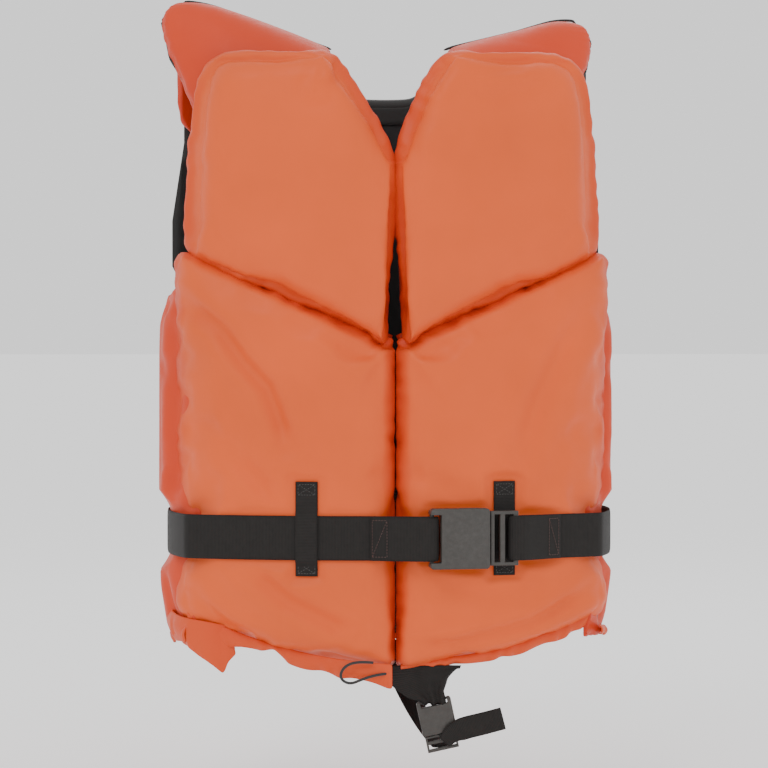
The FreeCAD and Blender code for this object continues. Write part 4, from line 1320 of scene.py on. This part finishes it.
def hems():
    """Gathered hems below the front panels, the side gussets and the back."""
    for side, sign in (("right", -1), ("left", 1)):
        outline = drawn([(sign * 4, -513), (sign * 45, -509.5), (sign * 91, -503), (sign * 140, -488),
                         (sign * 172, -474), (sign * 183, -464)], 3, 2.0) * MM
        gone = np.linspace(0, 1, len(outline))
        front = 41 * MM if side == "right" else 27 * MM
        path = front_surface()(outline, np.interp(gone, [0.22, 0.45], [front, 27 * MM]))
        if side == "right":
            drop = np.interp(gone, [0, 0.06, 0.26, 0.49, 0.55, 0.71, 0.80, 1], [20, 20, 15, 13, 5, 13, 20, 14]) * MM
        else:
            drop = np.interp(gone, [0, 0.3, 0.6, 0.9, 1], [6, 8, 11, 13, 8]) * MM
        ruffled(f"front_hem_{side}", path, drop, 1.6 * MM, 10, 0.5 if side == "right" else 2.1,
                outward_of(path, (0, AXIS)))
        arc = np.column_stack((np.linspace(-70, 84, 70), np.interp(np.linspace(0, 1, 70), [0, 0.5, 1], [-484, -492, -486])))
        path = side_surface()(arc * MM, np.full(len(arc), 5 * MM))
        path[:, 0] *= -sign
        ruffled(f"side_hem_{side}", path, 13 * MM if side == "right" else 9 * MM, 1.6 * MM, 7, 1.0 + sign,
                outward_of(path, (sign * SIDE_RING[0], SIDE_RING[1])))
    outline = drawn([(-182, -474), (-140, -486), (-91, -500), (0, -501), (91, -500), (140, -486), (182, -474)], 3, 2.5) * MM
    path = back_surface()(outline, np.full(len(outline), 16 * MM))
    ruffled("back_hem", path, 14 * MM, 1.8 * MM, 17, 0.3, outward_of(path, (0, -AXIS)))


def hem_flap():
    """The loose corner of the side gusset's hem, which hangs in a point on the wearer's right."""
    top = drawn([(-200, -22, -470), (-197, -48, -474), (-188, -74, -476), (-168, -88, -478), (-140, -84, -484)], 3, 2.0) * MM
    gone = np.linspace(0, 1, len(top))
    drop = np.interp(gone, [0, 0.24, 0.50, 0.73, 0.86, 0.93, 1], [17, 20, 25, 38, 46, 30, 22]) * MM
    ruffled("side_hem_flap", top, drop, 1.4 * MM, 2, 0.8, outward_of(top, (0, 0)), rows=12)


def yokes():
    """The seam strips of shell fabric that close the crease between chest blocks and lower panels."""
    for side, sign in (("right", -1), ("left", 1)):
        line = drawn([(sign * 5, -232), (sign * 60, -206.5), (sign * 120, -178), (sign * 174, -153)], 1, 4.0) * MM
        path = front_surface()(line, np.full(len(line), 6 * MM))
        normal = outward_of(path, (0, AXIS))
        across = np.cross(np.gradient(path, axis=0), normal)
        piece = strip(f"yoke_seam_{side}", path, across, 17 * MM, 3 * MM, 8)
        # A seam distance of 0 colours the whole strip with the painted shade of the crease.
        set_attribute(piece.data, "seam", np.full(len(piece.data.vertices), 0.0))
        dress(piece, SHELL_PAINTED_SHADE, "jacket", "shell_fabric")


def tube(name, path, radius, material, slot, sides=10):
    """A rounded cord-like binding along a line."""
    path = np.asarray(path, float)
    tangent = np.gradient(path, axis=0)
    tangent /= np.linalg.norm(tangent, axis=1)[:, None]
    first = np.cross(tangent, np.where(np.abs(tangent[:, 2:3]) > 0.9, (1.0, 0, 0), (0, 0, 1.0)))
    first /= np.linalg.norm(first, axis=1)[:, None]
    second = np.cross(tangent, first)
    angle = np.linspace(0, 2 * np.pi, sides, endpoint=False)
    size = np.full(len(path), radius)
    size[[0, -1]] *= 0.4
    rings = (path[:, None] + (first[:, None] * np.cos(angle)[None, :, None] + second[:, None] *
                             np.sin(angle)[None, :, None]) * size[:, None, None])
    faces = []
    for index in range(len(path) - 1):
        for k in range(sides):
            a = index * sides + k
            b = index * sides + (k + 1) % sides
            faces.append((a, b, b + sides, a + sides))
    faces.append(list(range(sides))[::-1])
    faces.append([(len(path) - 1) * sides + k for k in range(sides)])
    piece = new_object(name, rings.reshape(-1, 3), faces)
    outward(piece.data)
    return dress(smooth(piece), material, "jacket", slot)


def bindings():
    """Black binding round the back of the neck, and piping along the shoulder arches and armholes."""
    edge = drawn([(-58, 13), (-50, 10.5), (-40, 2), (-30, -5.5), (-15, -7), (15, -7), (30, -5.5), (40, 2), (50, 10.5),
                  (58, 13)], 2, 2.0) * MM
    path = back_surface(CURVE)(edge, np.full(len(edge), 5 * MM))
    tube("neck_binding_edge", path, 7 * MM, BINDING, "lining_fabric", 16)
    low = drawn([(-56, 4), (-48, 2), (-38, -6), (-29, -14), (-15, -16), (15, -16), (29, -14), (38, -6), (48, 2),
                 (56, 4)], 2, 2.0) * MM
    path = back_surface(CURVE)(low, np.full(len(low), -1.4 * MM))
    piece = strip("neck_binding_band", path, (0, 0, 1), 17 * MM, 1.4 * MM, 8)
    dress(piece, BINDING, "jacket", "lining_fabric", "neck_binding")
    for side, sign in (("right", 1), ("left", -1)):
        across = np.linspace(-52, -196, 60) * MM
        along = np.full(60, ARCH_RUN * 0.53)
        crest = shoulder_surface(np.column_stack((along, across)), np.full(60, SHOULDER_THICK + 0.2 * MM))
        down = np.linspace(0.53, 0.06, 30) * ARCH_RUN
        outer = np.interp(down / ARCH_RUN, [0.06, 0.17, 0.33, 0.53], [-178, -200, -208, -197]) * MM
        edge_line = shoulder_surface(np.column_stack((down, outer)), np.full(30, SHOULDER_THICK * 0.3))
        line = drawn(np.vstack((crest[:-4], edge_line[3:])), 2, 0.003)
        if sign < 0:
            line[:, 0] *= -1
        line = settle_lobe(line) if sign < 0 else line
        tube(f"shoulder_piping_{side}", line, 1.2 * MM, BINDING, "lining_fabric", 8)
        neck = np.array([(-3, -120), (-4, -70), (-12, -52), (-30, -16), (-52, 20), (-62, 27)], float)
        neck = drawn(neck, 3, 3.0) * MM
        path = front_surface()(neck, np.full(len(neck), 2.0 * MM))
        if sign < 0:
            path[:, 0] = -path[:, 0] - 12 * MM * np.clip((path[:, 2] + 70 * MM) / (70 * MM), 0, 1)
        tube(f"neck_piping_{side}", path, 1.6 * MM, BINDING, "lining_fabric", 8)


def settle_lobe(points):
    """The wearer's left shoulder lies lower and further in at its outer end."""
    points = points.copy()
    front = np.clip(1 - points[:, 1] / (60 * MM), 0, 1)
    share = np.clip((np.abs(points[:, 0]) - 60 * MM) / (130 * MM), 0, 1)
    points[:, 2] -= 17 * MM * share * np.clip(points[:, 2] / (50 * MM), 0, 1) * (0.4 + 0.6 * front)
    over = np.maximum(np.abs(points[:, 0]) - 120 * MM, 0)
    points[:, 0] -= np.sign(points[:, 0]) * over * 0.24 * front
    return points


def topstitching():
    """Rows of stitches along the belt's sewn ends."""
    starts = []
    ends = []
    outs = []
    turn = np.array((math.sin(BUCKLE_TURN), -math.cos(BUCKLE_TURN), 0))

    def row(points, out):
        first, last = stitch_line(np.array(points), 2.6 * MM)
        starts.extend(first)
        ends.extend(last)
        outs.extend([out] * len(first))

    for low, high, drop in ((-88, -76, 0.0), (70, 80, 0.0)):
        here = 1 if low > 0 else -1
        level = {-88: (14.0, 8.4), 70: (7.0, 12.0)}[low]
        corner = []
        for along, inwards in ((low, level[0]), (high, level[1])):
            place = np.array(on_buckle(along, inwards + drop))
            corner.append(place + turn * 0.3 * MM)
        a, b = corner
        up = np.array((0, 0, 16 * MM))
        row([a - up, a + up], turn)
        row([b - up, b + up], turn)
        row([a - up, b - up], turn)
        row([a + up, b + up], turn)
        row([a - up, b + up] if here < 0 else [a + up, b - up], turn)
    dashes("belt_stitches", starts, ends, outs, THREAD_BROWN)


# A darker, redder copy of the shell fabric as painted shade: the side gussets, shoulder lobes and crease strips are the
# same fabric as the fronts.
SHELL_PAINTED_SHADE = shell_material("shell_nylon_painted_shade", (0.64, 0.052, 0.012), ORANGE_PAINTED_SHADE)

lower_panels()
chest_blocks()
back_pad()
side_gussets()
shoulder_pads()
linings()
belts()
belt_loops()
hem_strap()
crotch_strap()
crotch_tail()
drawcord()
hardware()
hems()
hem_flap()
yokes()
bindings()
topstitching()

for node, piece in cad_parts.items():
    piece.data.materials.clear()
    piece.data.materials.append(TAPE if "tape" in node else ZIP_PLASTIC if "zip" in node else PLASTIC)
